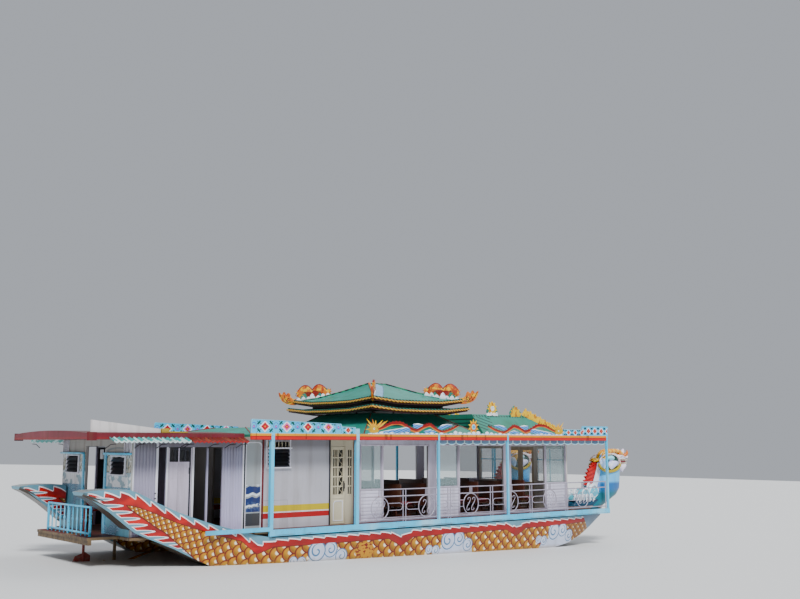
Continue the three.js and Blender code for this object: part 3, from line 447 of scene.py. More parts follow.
def dragon_skin():
    paint = Paint("hull_dragon_skin", HULL_BLUE, gloss=0.3)
    x, z = paint.x, paint.z
    keel_line, sheer_line = hull_lines(nodes["hull_starboard"])
    depth = x.along(sheer_line) - z
    from_tail_edge = x - z.along(sorted((low, at) for at, low in keel_line if at < -4.5))

    # Saw teeth under the sheer, with a deeper dip once in each length of pattern
    tooth_pitch, pattern_pitch, dip_at, dip_half = 0.345, 4.27, -5.3, 0.42
    tooth = (x / tooth_pitch).part()
    to_dip = (((x - dip_at) / pattern_pitch + 0.5).part() - 0.5).size() * pattern_pitch
    dip = (to_dip / dip_half).from_(1.0).most(0.0) * x.over(-7.0)
    swing = x.along(TOOTH_SWING)
    teeth_at = tooth.power(1.3) * swing + dip * 0.12 + 0.03
    under_band = depth - (x.along(BAND_LOW) + dip * 0.21)

    # Red body with brighter middles, then pale fingers that reach in from the lower edge of the tail
    heat = x.along([(TAIL_TIP, 1.0), (-5.2, 0.85), (-4.6, 0.25), (7.28, 0.25)])
    heat = paint.noise(3.2, 2.0, (0.6, 1, 1.6)).ramp(0.38, 0.62) * heat
    paint.color = paint.blend(CRIMSON, FLAME_RED, heat)
    thick = (((z - 0.055) / 0.144).part() - 0.5).size() * 2.0
    tail_low = z.under(2.3) * x.under(-6.2)
    outer = (rounded(thick, 0.56, 0.36, 0.12) - from_tail_edge).over(0.0)
    paint.lay(OUTLINE_WHITE, from_tail_edge.under(10.0) * outer * tail_low)
    paint.lay(HULL_BLUE, (rounded(thick, 0.34, 0.31, 0.095) - from_tail_edge).over(0.0) * tail_low)

    # Gold scales, small at the tail and larger forward, turned along the tail's own line
    distance, ahead, above = paint.group("dragon_scales", *scale_rows(x, z))
    gold = SCALE_GOLD
    for color, mask in (
        ((140, 106, 6), (ahead * 0.7 + above).ramp(-0.1, -0.45)),
        ((182, 104, 2), distance.ramp(0.38, 0.48)),
        ((255, 244, 226), (ahead - 0.06).reach(above - 0.08).ramp(0.19, 0.1)),
        (SCALE_RIM, distance.ramp(0.465, 0.485)), ((108, 74, 14), x.ramp(4.8, 5.3) * 0.45),
    ):
        gold = paint.blend(gold, color, mask)
    over_start = z - x.along(SCALES_FROM)
    paint.lay(SCALE_RIM, (under_band + 0.018).over(0.0) * (over_start + 0.03).over(0.0) * x.over(-8.56))
    paint.lay(gold, under_band.over(0.0) * over_start.over(0.0) * x.over(-8.5))

    # Swirled clouds between the dips, painted lobe by lobe, and a leafy patch in front of the first one
    along_pattern = ((x + 3.45) / pattern_pitch + 0.5).part() * pattern_pitch - pattern_pitch / 2
    cloud_here = x.within(-5.0, 5.9) * under_band.over(-0.02)
    over_cloud = along_pattern.along(CLOUD_TOP) - z
    paint.lay(CLOUD_LINE, over_cloud.over(-0.014) * cloud_here * along_pattern.within(-0.8, 0.78))
    paint.lay(CLOUD_PALE, over_cloud.over(0.0) * cloud_here * along_pattern.within(-0.79, 0.77))
    for lobe in CLOUD_LOBES:
        inside, line = paint.group("cloud_swirl", along_pattern, z, *lobe)
        paint.lay(CLOUD_PALE, inside * cloud_here)
        paint.lay(CLOUD_LINE, line * cloud_here)
    leaves = paint.noise(9.0, 2.0, (1, 1, 1.6)).over(0.45)
    patch = ((x + 2.2) / 0.3).reach((z - 0.52) / 0.2).under(1.0) * under_band.over(0.0)
    paint.lay(paint.blend((134, 30, 18), (206, 158, 10), leaves), patch)

    # Saw-toothed edge of the crimson band, plain strip over it, plain stem, bare timber below in painted
    # shade
    edge = depth - teeth_at
    notch = tooth.under(0.055) * (depth - swing - dip * 0.12 - 0.03).under(0.012)
    paint.lay(OUTLINE_WHITE, edge.under(0.028).most(notch))
    paint.lay(HULL_BLUE, edge.under(0.0))
    paint.lay((110, 128, 146), (x + z * 0.9).over(7.15))
    wet = z + (x + 4.99) * math.tan(TRIM) - WATER_HEIGHT + (paint.noise(2.5, 4.0) - 0.5) * 0.12
    paint.lay((150, 128, 72), wet.ramp(0.1, 0.0) * 0.5)
    plank = (x * 1.2).part().under(0.012).most((paint.y * 6.0).part().under(0.05))
    # Painted shade: downward faces are bare timber, painted darker than the timber as if in shade; plank
    # lines are joints
    bare = paint.facing[2].under(-0.45)
    paint.lay((74, 68, 62), bare)
    paint.lay((44, 40, 36), bare * plank)
    paint.lay((150, 158, 160), paint.facing[2].over(0.6))
    return paint.dry(grime=0.22)


coat(pair("hull"), dragon_skin())


# Steering and drive: a welded plate rudder in red lead paint on a round stock, a three-bladed bronze
# propeller on a steel shaft, and the engine under its grey-green block paint, streaked with oil.
def simple(name, color, gloss=0.4, metal=0.0, grime=0.35, relief=0.0015, grime_color=GRIME):
    """A finish of one colour under the weather."""
    return Paint(name, color, gloss, metal).dry(grime=grime, relief=relief, grime_color=grime_color)


def red_lead():
    paint = Paint("rudder_red_lead", (132, 52, 40), gloss=0.5)
    worn = paint.noise(14.0, 6.0).ramp(0.56, 0.66) * paint.z.ramp(0.9, 0.4)
    paint.lay((98, 92, 84), worn)
    return paint.dry(grime=0.5)


def cast_bronze():
    paint = Paint("propeller_bronze", (184, 138, 62), gloss=0.28, metal=1.0)
    paint.lay((86, 112, 88), paint.noise(11.0, 5.0).ramp(0.52, 0.7))
    return paint.dry(grime=0.2)


coat(["rudder"], red_lead())
coat(["propeller"], cast_bronze())
OIL = (30, 26, 22)
coat(["engine_block"], simple("engine_enamel", (92, 112, 100), gloss=0.45, grime=0.8, grime_color=OIL))


# Deck: boards laid fore and aft on hardwood bearers, painted dark red and trodden bare in the middle. The
# bearers and cross beams under it stay in grey timber.
def deck_boards():
    paint = Paint("deck_boards", (112, 48, 44), gloss=0.55)
    board = 0.145
    across = paint.y / board
    number = across.floor() * 7.31
    grain = paint.noise(9.0, 6.0, (0.12, 1.6, 1))
    paint.lay((86, 38, 36), (number * 0.137).part() * 0.7)
    bare = paint.noise(1.6, 5.0).ramp(0.46, 0.62) * paint.y.size().ramp(1.4, 0.3)
    paint.lay((150, 122, 94), bare.least(grain.ramp(0.3, 0.6)) * 0.8)
    seam = (across.part() - 0.5).size().over(0.475)
    butt = ((paint.x + number) / 2.6).part().under(0.004)
    paint.lay((30, 24, 22), seam.most(butt))
    under = paint.facing[2].under(0.5)
    paint.lay(paint.blend((120, 104, 84), (74, 62, 52), grain.ramp(0.4, 0.65)), under)
    return paint.dry(grime=0.3, relief=0.003, height=grain * 0.5 - seam * 1.5)


coat(["deck_platform"], deck_boards())


# Deck edge and posts: a light blue rubbing beam with slim square posts that carry the eaves, brush painted
# over timber. Each post runs up the fascia as a thin strip, and the second one ends in a block.
def deselect():
    if bpy.context.mode != "OBJECT":
        bpy.ops.object.mode_set(mode="OBJECT")
    bpy.ops.object.select_all(action="DESELECT")


def pick(*pieces):
    deselect()
    for piece in pieces:
        piece.select_set(True)
    bpy.context.view_layer.objects.active = pieces[0]


def shape_all():
    """Edit mode with the whole mesh selected."""
    bpy.ops.object.mode_set(mode="EDIT")
    bpy.ops.mesh.select_all(action="SELECT")


def clean(merge=0.0):
    """Joins doubled points of the picked piece and turns its faces outwards."""
    shape_all()
    if merge:
        bpy.ops.mesh.remove_doubles(threshold=merge)
    bpy.ops.mesh.normals_make_consistent(inside=False)
    bpy.ops.object.mode_set(mode="OBJECT")


def settle(piece):
    """Puts the place, turn and size of a piece into its mesh."""
    pick(piece)
    bpy.ops.object.transform_apply(location=True, rotation=True, scale=True)
    return piece


def finish_with(piece, kind, **settings):
    """One modifier, applied."""
    pick(piece)
    modifier = piece.modifiers.new(kind.lower(), kind)
    for setting, value in settings.items():
        setattr(modifier, setting, value)
    bpy.ops.object.modifier_apply(modifier=modifier.name)
    return piece


def named(piece, name):
    piece.name = name
    piece.data.name = name
    return piece


def joined(name, pieces):
    pick(*pieces)
    if len(pieces) > 1:
        bpy.ops.object.join()
    return named(bpy.context.object, name)


def boxes(name, rows, edge=0.003, segments=2):
    """Blocks in one piece, with rounded edges. Each row holds the x, y and z limits."""
    deselect()
    bpy.ops.mesh.primitive_cube_add(size=1)
    piece = named(bpy.context.object, name)
    shape_all()
    bpy.ops.mesh.delete(type="VERT")
    for x0, x1, y0, y1, z0, z1 in rows:
        bpy.ops.mesh.primitive_cube_add(
            size=1, location=((x0 + x1) / 2, (y0 + y1) / 2, (z0 + z1) / 2), scale=(x1 - x0, y1 - y0, z1 - z0)
        )
    bpy.ops.object.mode_set(mode="OBJECT")
    if edge:
        finish_with(piece, "BEVEL", width=edge, segments=segments, limit_method="ANGLE")
    return piece


def to_port(piece, name):
    """The same piece for the port side, mirrored in a mesh of its own."""
    pick(piece)
    bpy.ops.object.duplicate()
    other = named(bpy.context.object, name)
    other.scale.y = -1.0
    settle(other)
    clean()
    return other


def fit(piece, material, body="boat", replaces=None, smooth=35):
    """Puts a piece at its station and gives it its finish and the body that it rides on."""
    piece.data.materials.clear()
    piece.data.materials.append(material)
    piece.location.x = STATION_ZERO
    settle(piece)
    pick(piece)
    bpy.ops.object.shade_smooth_by_angle(angle=math.radians(smooth))
    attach(piece, body)
    if replaces:
        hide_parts(replaces)
    return piece


def fit_pair(piece, material, body="boat", replaces=None, smooth=35):
    """Fits a starboard piece and its port twin. Body and replaced node are named without their side."""
    port = to_port(piece, f"{piece.name}_port")
    for side, one in (("starboard", named(piece, f"{piece.name}_starboard")), ("port", port)):
        own_body = body if body == "boat" else f"{body}_{side}"
        fit(one, material, own_body, f"{replaces}_{side}" if replaces else None, smooth)


def span(node_name):
    """A node's limits: first and last station, y0, y1, z0, z1."""
    low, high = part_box(node_name)
    return low[0] - STATION_ZERO, high[0] - STATION_ZERO, low[1], high[1], low[2], high[2]


def brushed_blue():
    paint = Paint("edge_light_blue", (112, 190, 222), gloss=0.32)
    chip = paint.noise(22.0, 6.0).ramp(0.64, 0.7)
    paint.lay((196, 216, 222), paint.noise(1.3, 4.0, (1, 1, 0.3)).ramp(0.5, 0.75) * 0.6)
    paint.lay((120, 96, 74), chip)
    rubbed = paint.z.within(1.0, 1.06) * paint.noise(6.0, 5.0, (0.3, 1, 1)).ramp(0.45, 0.6)
    paint.lay((96, 104, 110), rubbed * 0.7)
    return paint.dry(grime=0.3)


LIGHT_BLUE = brushed_blue()
coat(pair("side_frame"), LIGHT_BLUE)

# columns: x of the post's middle, width
POSTS = [(-4.99, 0.09), (-2.48, 0.09), (0.26, 0.06), (2.91, 0.06), (7.365, 0.06)]
MAIN_AFT, MAIN_FORE, EAVE_FACE = span("side_eave_board_starboard")[:3]
STRIP_FOOT = span("ceiling")[4] - 0.03
FASCIA_TOP = 3.4
strips = [
    (x - wide / 2, x + wide / 2, EAVE_FACE - 0.008, EAVE_FACE + 0.004, STRIP_FOOT, FASCIA_TOP)
    for x, wide in POSTS
]
x, _ = POSTS[1]
strips.append((x - 0.055, x + 0.055, EAVE_FACE, EAVE_FACE + 0.05, FASCIA_TOP, FASCIA_TOP + 0.13))
fit_pair(boxes("post_strip", strips, edge=0.002), LIGHT_BLUE)


# Railing: round steel tube, bent and welded, in dull grey paint. Rings hold two scrolls each, pairs of
# uprights stand between them, and hairpins reach from the uprights to the rings.
def new_curve(name, bevel, sides):
    """An empty curve for bent tube or cut sheet."""
    deselect()
    curve = bpy.data.curves.new(name, "CURVE")
    curve.dimensions = "3D"
    curve.bevel_depth = bevel
    curve.bevel_resolution = sides
    return curve


def add_line(curve, points, ring):
    line = curve.splines.new("POLY")
    line.points.add(len(points) - 1)
    for point, spot in zip(line.points, points):
        point.co = (*spot, 1.0)
    line.use_cyclic_u = ring
    return line


def made_from(curve, name):
    """The mesh piece that a curve describes."""
    piece = bpy.data.objects.new(name, curve)
    bpy.context.scene.collection.objects.link(piece)
    pick(piece)
    bpy.ops.object.convert(target="MESH")
    return named(bpy.context.object, name)


TUBE_MERGE = 0.0002


def tubes(name, runs, radius, sides=2):
    """Round tube along each run of points, all in one piece. A run is a list of points and whether it is a
    ring."""
    path = new_curve(name, radius, sides)
    path.use_fill_caps = True
    for points, ring in runs:
        add_line(path, points, ring)
    piece = made_from(path, name)
    clean(TUBE_MERGE)
    return piece


def arc(middle, radius, start, end, steps):
    """Points on a circle in X and Z, angles in turns."""
    x, y, z = middle
    return [
        (x + radius * math.cos(math.tau * t), y, z + radius * math.sin(math.tau * t))
        for t in (start + (end - start) * k / steps for k in range(steps + 1))
    ]


RAIL_Y = -2.418
RAIL_ENDS = (-2.434, 7.334)
RAILS = (1.235, 1.815, 1.99)
RINGS = (-1.7, -0.12, 1.5, 3.09, 4.73, 6.21)
PAIRS = (-0.89, 0.69, 2.3, 3.91, 5.47)
RING_RADIUS = 0.282
PAIR_HALF = 0.045
DECK = 1.15


def scroll(middle, away):
    """One of two slanted S shapes side by side in a ring, curled in at both ends."""
    x, y, z = middle
    half = [
        (0, 0), (0.022, 0.045), (0.03, 0.085), (0.018, 0.118), (-0.014, 0.128), (-0.038, 0.108),
        (-0.03, 0.084),
    ]
    ess = [(-u, -v) for u, v in half[:0:-1]] + half
    return [(x + away + u * 1.5 + v * 0.3, y, z + v * 1.35) for u, v in ess]


def hairpin(ring_x, upright_x):
    """A U lying on its side, with its legs on the ring."""
    towards = 1 if upright_x > ring_x else -1
    low, high, bend = 1.462, 1.638, 0.088
    edge = math.sqrt(RING_RADIUS ** 2 - bend ** 2)
    turn_x = upright_x - towards * (bend + 0.018)
    round_end = [
        (turn_x + towards * bend * math.sin(turn), RAIL_Y, (low + high) / 2 + bend * math.cos(turn))
        for turn in (math.pi * k / 8 for k in range(9))
    ]
    return [(ring_x + towards * edge, RAIL_Y, high)] + round_end + [(ring_x + towards * edge, RAIL_Y, low)]


def upright(x, foot, head=RAILS[2]):
    return [(x, RAIL_Y, foot), (x, RAIL_Y, head)], False


def railing():
    first, last = RAIL_ENDS
    centre = (RAILS[0] + RAILS[1]) / 2
    stout = [([(first, RAIL_Y, z), (last, RAIL_Y, z)], False) for z in RAILS]
    stout += [upright(x, DECK) for x in (first + 0.013, last - 0.013)]
    slim = [(arc((x, RAIL_Y, centre), RING_RADIUS, 0, 1 - 1 / 40, 39), True) for x in RINGS]
    uprights = [x + side * PAIR_HALF for x in PAIRS for side in (-1, 1)]
    slim += [upright(x, DECK) for x in uprights]
    thin = [upright(x + off, RAILS[1]) for x in RINGS for off in (-0.04, 0, 0.04)]
    thin += [(scroll((x, RAIL_Y, centre), away), False) for x in RINGS for away in (-0.09, 0.09)]
    for k, x in enumerate(PAIRS):
        thin += [(hairpin(RINGS[k], x - PAIR_HALF), False), (hairpin(RINGS[k + 1], x + PAIR_HALF), False)]
    feet = [(x - 0.03, x + 0.03, RAIL_Y - 0.022, RAIL_Y + 0.03, DECK, DECK + 0.006) for x in uprights]
    return joined("railing", [
        tubes("rails", stout, 0.0155, 4), tubes("rings", slim, 0.013, 3), tubes("scrolls", thin, 0.0095, 2),
        boxes("feet", feet, edge=0.001, segments=1),
    ])


def rail_finish():
    paint = Paint("rail_grey_paint", (166, 162, 174), gloss=0.35, metal=0.15)
    paint.lay((128, 96, 78), paint.noise(26.0, 6.0).ramp(0.62, 0.7))
    return paint.dry(grime=0.35)


fit_pair(railing(), rail_finish(), replaces="railing", smooth=50)


# Stern balustrade: light blue square bars between the tails, with knobs on the slim ones.
def stern_balustrade():
    x, half, low, high = -8.83, 1.25, 1.215, 1.78
    rows = [(x - 0.02, x + 0.02, -half, half, z - 0.02, z + 0.02) for z in (low, high)]
    for k in range(11):
        y = (half - 0.024) * (k / 5 - 1)
        stout = k % 5 == 0
        r = 0.024 if stout else 0.012
        rows.append((x - r, x + r, y - r, y + r, DECK, high - 0.005))
        if not stout:
            rows.append((x - 0.018, x + 0.018, y - 0.018, y + 0.018, 1.46, 1.52))
    return boxes("stern_balustrade_bars", rows, edge=0.004)


fit(stern_balustrade(), LIGHT_BLUE, replaces="stern_balustrade")


# Cabin walls: painted steel sheet. Corrugated panels stand beside the galley, flat panels beside the store
# and framed bays beside the saloon. Louvre slats, ledges, bars, ribs and trims are folded sheet, riveted on.
def smooth_line(points, steps=5, closed=True):
    """More points along a rounded line through the given ones."""
    count = len(points)
    spots = []
    for k in range(count if closed else count - 1):
        near = [k + shift for shift in (-1, 0, 1, 2)]
        near = [n % count for n in near] if closed else [min(max(n, 0), count - 1) for n in near]
        a, b, c, d = (points[n] for n in near)
        for step in range(steps):
            t = step / steps
            spots.append(tuple(0.5 * (
                2 * q + (r - p) * t + (2 * p - 5 * q + 4 * r - s) * t * t + (3 * q - p - 3 * r + s) * t ** 3
            ) for p, q, r, s in zip(a, b, c, d)))
    return spots if closed else spots + [points[-1]]


FACING = {"x": (math.pi / 2, 0, math.pi / 2), "y": (math.pi / 2, 0, 0)}
SHEET_MERGE = 0.0003


def plates(name, outlines, axis, low, high, edge=0.003):
    """Sheets cut to outlines, all between low and high on one axis, with rounded edges. Inner outlines are
    holes."""
    sheet = new_curve(name, edge, 1)
    sheet.dimensions = "2D"
    sheet.fill_mode = "BOTH"
    sheet.extrude = (high - low) / 2 - edge
    sheet.offset = -edge
    for outline in outlines:
        add_line(sheet, [(u, v, 0.0) for u, v in outline], True)
    piece = made_from(sheet, name)
    piece.rotation_euler = FACING[axis]
    piece.location["xyz".index(axis)] = (low + high) / 2
    settle(piece)
    clean(SHEET_MERGE)
    return piece


def lines(value, pitch, share):
    """Thin lines over a surface, one in each pitch, taking a share of it."""
    return ((value / pitch).part() - 0.5).size().over(0.5 - share / 2)


def stern_wall_paint():
    """Mural: clouds under the eaves, drifting brush strokes, and a sea of scale-shaped waves below."""
    paint = Paint("stern_wall_mural", (186, 184, 174), gloss=0.4)
    y, z = paint.y, paint.z
    sea_top, beam_under = 2.2, 2.96
    for scale, share, color in (
        (5.5, 0.028, (92, 104, 112)), (3.4, 0.02, (222, 224, 226)), (7.5, 0.03, (120, 116, 98)),
    ):
        brush = paint.noise(scale, 1.5, (1, 1.2, 0.8))
        paint.lay(color, (brush - 0.5).size().under(share) * z.over(sea_top))
    cloud = z.within(2.19, 2.5) * paint.noise(4.2, 2.5, (1, 1, 1.8)).ramp(0.44, 0.5)
    paint.lay((150, 168, 176), z.within(2.17, 2.52))
    paint.lay((226, 228, 230), cloud)
    sea = z.under(sea_top)
    paint.lay((118, 158, 172), sea)
    wave = paint.group("dragon_scales", z * -1.0 / 0.3, y / 0.34)[0]
    ripple = paint.noise(2.2, 1.0)
    paint.lay((86, 104, 136), lines(wave, 0.16, 0.3) * sea * ripple.over(0.46))
    paint.lay((204, 208, 222), lines(wave + 0.06, 0.16, 0.16) * sea * ripple.over(0.5))
    paint.lay((150, 150, 146), z.over(beam_under))
    arch = (y + 1.25) * (y + 1.25) / 0.42 + (z - 2.93) * (z - 2.93) / 0.018
    paint.lay((112, 120, 122), (arch - 1.0).size().under(0.25) * z.over(beam_under))
    paint.lay((166, 166, 164), paint.facing[0].over(-0.5))
    return paint.dry(grime=0.45)


def sheet_paint(name, color, low_color):
    """Painted sheet, paler near the deck and in shade under the eaves."""
    paint = Paint(name, color, gloss=0.36, metal=0.15)
    paint.lay(low_color, paint.z.ramp(2.9, 1.5))
    paint.lay((108, 106, 112), paint.z.ramp(2.95, 3.12) * 0.8)
    rust = paint.noise(9.0, 6.0, (1, 1, 0.15)).ramp(0.66, 0.74) * paint.z.ramp(1.6, 1.2)
    paint.lay((120, 76, 48), rust * 0.8)
    return paint


def mid_wall_paint():
    """Corrugated sheet, and at its forward end a flat panel with painted waves."""
    paint = sheet_paint("mid_wall_sheet", (150, 150, 166), (190, 186, 208))
    x, z = paint.x, paint.z
    panel = x.over(-5.425)
    paint.lay((160, 164, 166), panel)
    crest = z + (x * 1.6).apply("SINE") * 0.04 + paint.noise(2.2, 2.0, (1, 1, 0.4)) * 0.45
    water = panel * z.within(1.56, 2.19)
    paint.lay((38, 50, 92), water * lines(crest, 0.23, 0.62))
    paint.lay((226, 232, 238), water * lines(crest + 0.1, 0.23, 0.2))
    foam = paint.noise(15.0, 3.0).over(0.56) * z.under(1.8)
    paint.lay((70, 84, 118), water * foam)
    paint.lay((62, 64, 68), panel * z.within(1.24, 1.53))
    return paint.dry(grime=0.35)


def store_paint():
    """Plain sheet with a panel joint, yellow, white and red bands, and the beige frame forward of them."""
    paint = sheet_paint("store_wall_sheet", (174, 174, 180), (192, 190, 196))
    x, z = paint.x, paint.z
    frame_at, joint_z, joint_x = -2.952, 1.81, -4.2
    across = (z - joint_z).size().under(0.004) * x.under(joint_x)
    paint.lay((140, 140, 146), across.most((x - joint_x).size().under(0.004) * z.under(joint_z)))
    bands = ((206, 188, 16), 1.54, 1.69), ((232, 224, 226), 1.51, 1.54), ((196, 24, 40), 1.385, 1.51)
    for color, low, high in bands:
        paint.lay(color, x.under(frame_at) * z.within(low, high))
    paint.lay((184, 178, 162), x.over(frame_at))
    return paint.dry(grime=0.3)


WHITE_TRIM = simple("trim_white_enamel", (222, 222, 230), gloss=0.3, grime=0.35)
DARK_METAL = simple("slat_dark_metal", (44, 46, 52), gloss=0.45, metal=0.4, grime=0.3)
MAROON_POST = simple("post_maroon", (108, 24, 40), gloss=0.35)
BEIGE = simple("door_beige", (196, 190, 172), gloss=0.35, grime=0.4)
ALUMINIUM = simple("frame_lilac_aluminium", (202, 196, 208), gloss=0.28, metal=0.35, grime=0.3)
coat(["stern_wall"], stern_wall_paint())
stern_side = sheet_paint("stern_side_sheet", (140, 138, 150), (182, 178, 196))
coat(pair("stern_side_wall"), stern_side.dry(grime=0.35))
coat(pair("mid_side_wall"), mid_wall_paint())
coat(pair("store_wall"), store_paint())
coat(pair("side_door"), BEIGE)
lining = simple("lining_pale_board", (150, 148, 146), gloss=0.5, grime=0.4)
coat(["galley_partition", "saloon_partition"], lining)

# Sheet on a wall stands off its face by the seam, so that the two faces never coincide.
WALL_FACE, SEAM = -1.95, 0.0005
WALL_FOOT, WALL_HEAD, BAY_HEAD_TRIM = 1.15, 3.248, 3.078


def on_face(rows, face=WALL_FACE, back=SEAM):
    """Rows for boxes on a wall. Each row: x limits, how far it stands out, z limits."""
    return [(x0, x1, face - out, face - back, z0, z1) for x0, x1, out, z0, z1 in rows]


def slats(name, x0, x1, z0, z1, count, face, axis, back):
    """Tilted slats that stand proud of a wall. The face is the wall's outer side."""
    pitch = (z1 - z0) / count
    front = face - 0.055
    shapes = []
    for low in (z0 + k * pitch for k in range(count)):
        high = low + pitch
        shapes.append([
            (front, low), (front + 0.006, low - 0.002), (face + back, low + pitch * 0.96),
            (face + back - 0.006, high),
        ])
    return plates(name, shapes, axis, x0, x1, edge=0.0)


# Stern wall: louvre on each side, a ledge over it, and a barred opening above the ledge.
STERN_SEAM = -8.2605
fit_pair(boxes("stern_ledge", [
    (-8.35, STERN_SEAM, -1.945, -0.62, 2.91, 2.955), (-8.3, STERN_SEAM, -0.665, -0.585, WALL_FOOT, 2.91),
], edge=0.006), LIGHT_BLUE)
stern_slats = slats("stern_louvre_slats", -1.635, -0.965, 2.49, 2.85, 4, -8.262, "y", 0.04)
fit_pair(stern_slats, DARK_METAL)
fit_pair(boxes("stern_louvre_frame", [
    (-8.292, STERN_SEAM, -1.685, -1.642, 2.455, 2.885), (-8.292, STERN_SEAM, -0.958, -0.915, 2.455, 2.885),
    (-8.3, STERN_SEAM, -1.7, -0.9, 2.872, 2.896), (-8.3, STERN_SEAM, -1.7, -0.9, 2.452, 2.478),
]), WHITE_TRIM)
vent = [(-8.266, STERN_SEAM, -1.93, -1.6, 2.965, 3.235)]
fit_pair(boxes("stern_vent", vent, edge=0.001), DARK_METAL)
fit_pair(boxes("stern_vent_bars", [
    (-8.285, -8.262, y - 0.012, y + 0.012, 2.958, 3.24) for y in (-1.925, -1.845, -1.765, -1.685, -1.6)
]), WHITE_TRIM)

# Galley side: pale edge trims with a hinge, the frame of the wave panel with round shoulders, the maroon
# post.
rim = [(-5.395, 1.155), (-4.95, 1.155), (-4.95, 3.12)] + smooth_line([
    (-4.965, 3.17), (-5.06, 3.2), (-5.29, 3.2), (-5.38, 3.165), (-5.395, 3.11),
], 3, closed=False)
inner = [(-5.375, 1.175), (-4.97, 1.175), (-4.97, 3.095)] + smooth_line([
    (-4.985, 3.145), (-5.065, 3.175), (-5.28, 3.175), (-5.355, 3.145), (-5.375, 3.095),
], 3, closed=False)
wave_frame = plates("wave_panel_frame", [rim, inner], "y", WALL_FACE - 0.008, WALL_FACE + 0.012)
fit_pair(wave_frame, WHITE_TRIM)
fit_pair(boxes("galley_trims", on_face([
    (-7.684, -7.628, 0.01, WALL_FOOT, 3.2), (-5.475, -5.44, 0.012, WALL_FOOT, WALL_HEAD),
    (-7.43, -7.386, 0.008, WALL_FOOT, BAY_HEAD_TRIM), (-6.795, -6.745, 0.012, WALL_FOOT, BAY_HEAD_TRIM),
    (-8.225, -8.195, 0.01, WALL_FOOT, WALL_HEAD),
])), WHITE_TRIM)
dark_trims = on_face([(-5.437, -5.4, 0.01, WALL_FOOT, WALL_HEAD), (-2.972, -2.932, 0.014, 1.152, WALL_HEAD)])
hinges = on_face([(-7.7, -7.664, 0.022, z, z + 0.025) for z in (1.95, 2.06)], back=0.01)
fit_pair(boxes("wall_dark_trims", dark_trims + hinges), DARK_METAL)
maroon = on_face([(x0, x1, 0.02, WALL_FOOT, WALL_HEAD) for x0, x1 in ((-4.9385, -4.895), (-2.205, -2.16))])
fit_pair(boxes("maroon_posts", maroon, edge=0.004), MAROON_POST)

# Store wall: louvre with saw-toothed brackets under a ledge, barred glass over it, and a lattice by the door.
store_slats = slats("store_louvre_slats", -4.78, -4.18, 2.61, 3.025, 5, WALL_FACE, "x", 0.045)
fit_pair(store_slats, DARK_METAL)
saw = [(WALL_FACE - SEAM, 2.6), (WALL_FACE - SEAM, 3.03)]
for top in (3.03 - 0.085 * k for k in range(5)):
    saw += [(WALL_FACE - 0.02, top - 0.004), (WALL_FACE - 0.066, top - 0.07)]
brackets = [plates("bracket", [saw], "x", x, x + 0.012, edge=0.002) for x in (-4.8, -4.174)]
brackets.append(boxes("ledge", on_face([
    (-4.83, -4.135, 0.085, 3.032, 3.066), (-4.83, -4.135, 0.06, 2.566, 2.596),
    (-4.84, -4.8, 0.012, 2.56, 3.245), (-4.16, -4.125, 0.012, 2.56, 3.245),
]), edge=0.004))
fit_pair(joined("store_louvre_frame", brackets), WHITE_TRIM)
LATTICE_ROWS = (1.874, 2.088, 2.328, 2.568, 2.808, 3.016)
bars = on_face([
    (-4.7895 + 0.006 + 0.1 * k, -4.7895 + 0.026 + 0.1 * k, -0.004, 3.036, 3.1995) for k in range(7)
], back=-0.02)
bars += on_face([(-2.3795, -2.2605, -0.006, z - 0.014, z + 0.014) for z in LATTICE_ROWS], back=-0.022)
bars += on_face([(-2.33, -2.312, -0.006, 1.862, 3.028)], back=-0.02)
fit_pair(boxes("store_bars", bars), BEIGE)

# Side door: two grille columns, the forward one filled with scrolls, an inset panel below and a pull handle.
door_bars = on_face([
    (x0, x1, -0.004, z - 0.014, z + 0.014)
    for z in LATTICE_ROWS for x0, x1 in ((-2.8445, -2.7055), (-2.6745, -2.5355))
], back=-0.022)
door_bars += on_face([(x - 0.008, x + 0.008, -0.006, 1.862, 3.028) for x in (-2.798, -2.752)], back=-0.02)
curls = []
for low, high in zip(LATTICE_ROWS, LATTICE_ROWS[1:]):
    middle, tall = (low + high) / 2, (high - low) / 2 - 0.016
    curl = []
    for t in (k / 16 for k in range(17)):
        x = -2.605 + 0.046 * math.sin(math.tau * t) * (1 - 0.3 * t)
        curl.append((x, WALL_FACE + 0.013, middle + tall * (2 * t - 1)))
    curls.append((curl, False))
door_edges = on_face([(x, x + 0.022, 0.008, 1.17, 3.075) for x in (-2.9, -2.502)])
door_edges += on_face([(-2.878, -2.502, 0.008, z, z + 0.026) for z in (1.17, 1.79, 3.049)])
fit_pair(joined("side_door_grille", [
    boxes("bars", door_bars), tubes("scrolls", curls, 0.007), boxes("edges", door_edges),
]), BEIGE, body="side_door")
inset = [(-2.84, 1.235), (-2.54, 1.235), (-2.54, 1.735), (-2.78, 1.735), (-2.84, 1.675)]
inner = [(-2.82, 1.255), (-2.56, 1.255), (-2.56, 1.715), (-2.772, 1.715), (-2.82, 1.667)]
inset = plates("side_door_panel", [inset, inner], "y", WALL_FACE - 0.012, WALL_FACE - SEAM)
fit_pair(inset, WHITE_TRIM, body="side_door")
pull = ((0.004, 2.02), (0.045, 2.04), (0.045, 2.16), (0.004, 2.18))
pull = [(-2.515, WALL_FACE - out, z) for out, z in pull]
fit_pair(joined("side_door_handle", [
    tubes("pull", [(pull, False)], 0.008, 3),
    boxes("plate", on_face([(-2.532, -2.498, 0.014, 1.96, 2.22)], back=0.009), edge=0.002),
]), DARK_METAL, body="side_door")

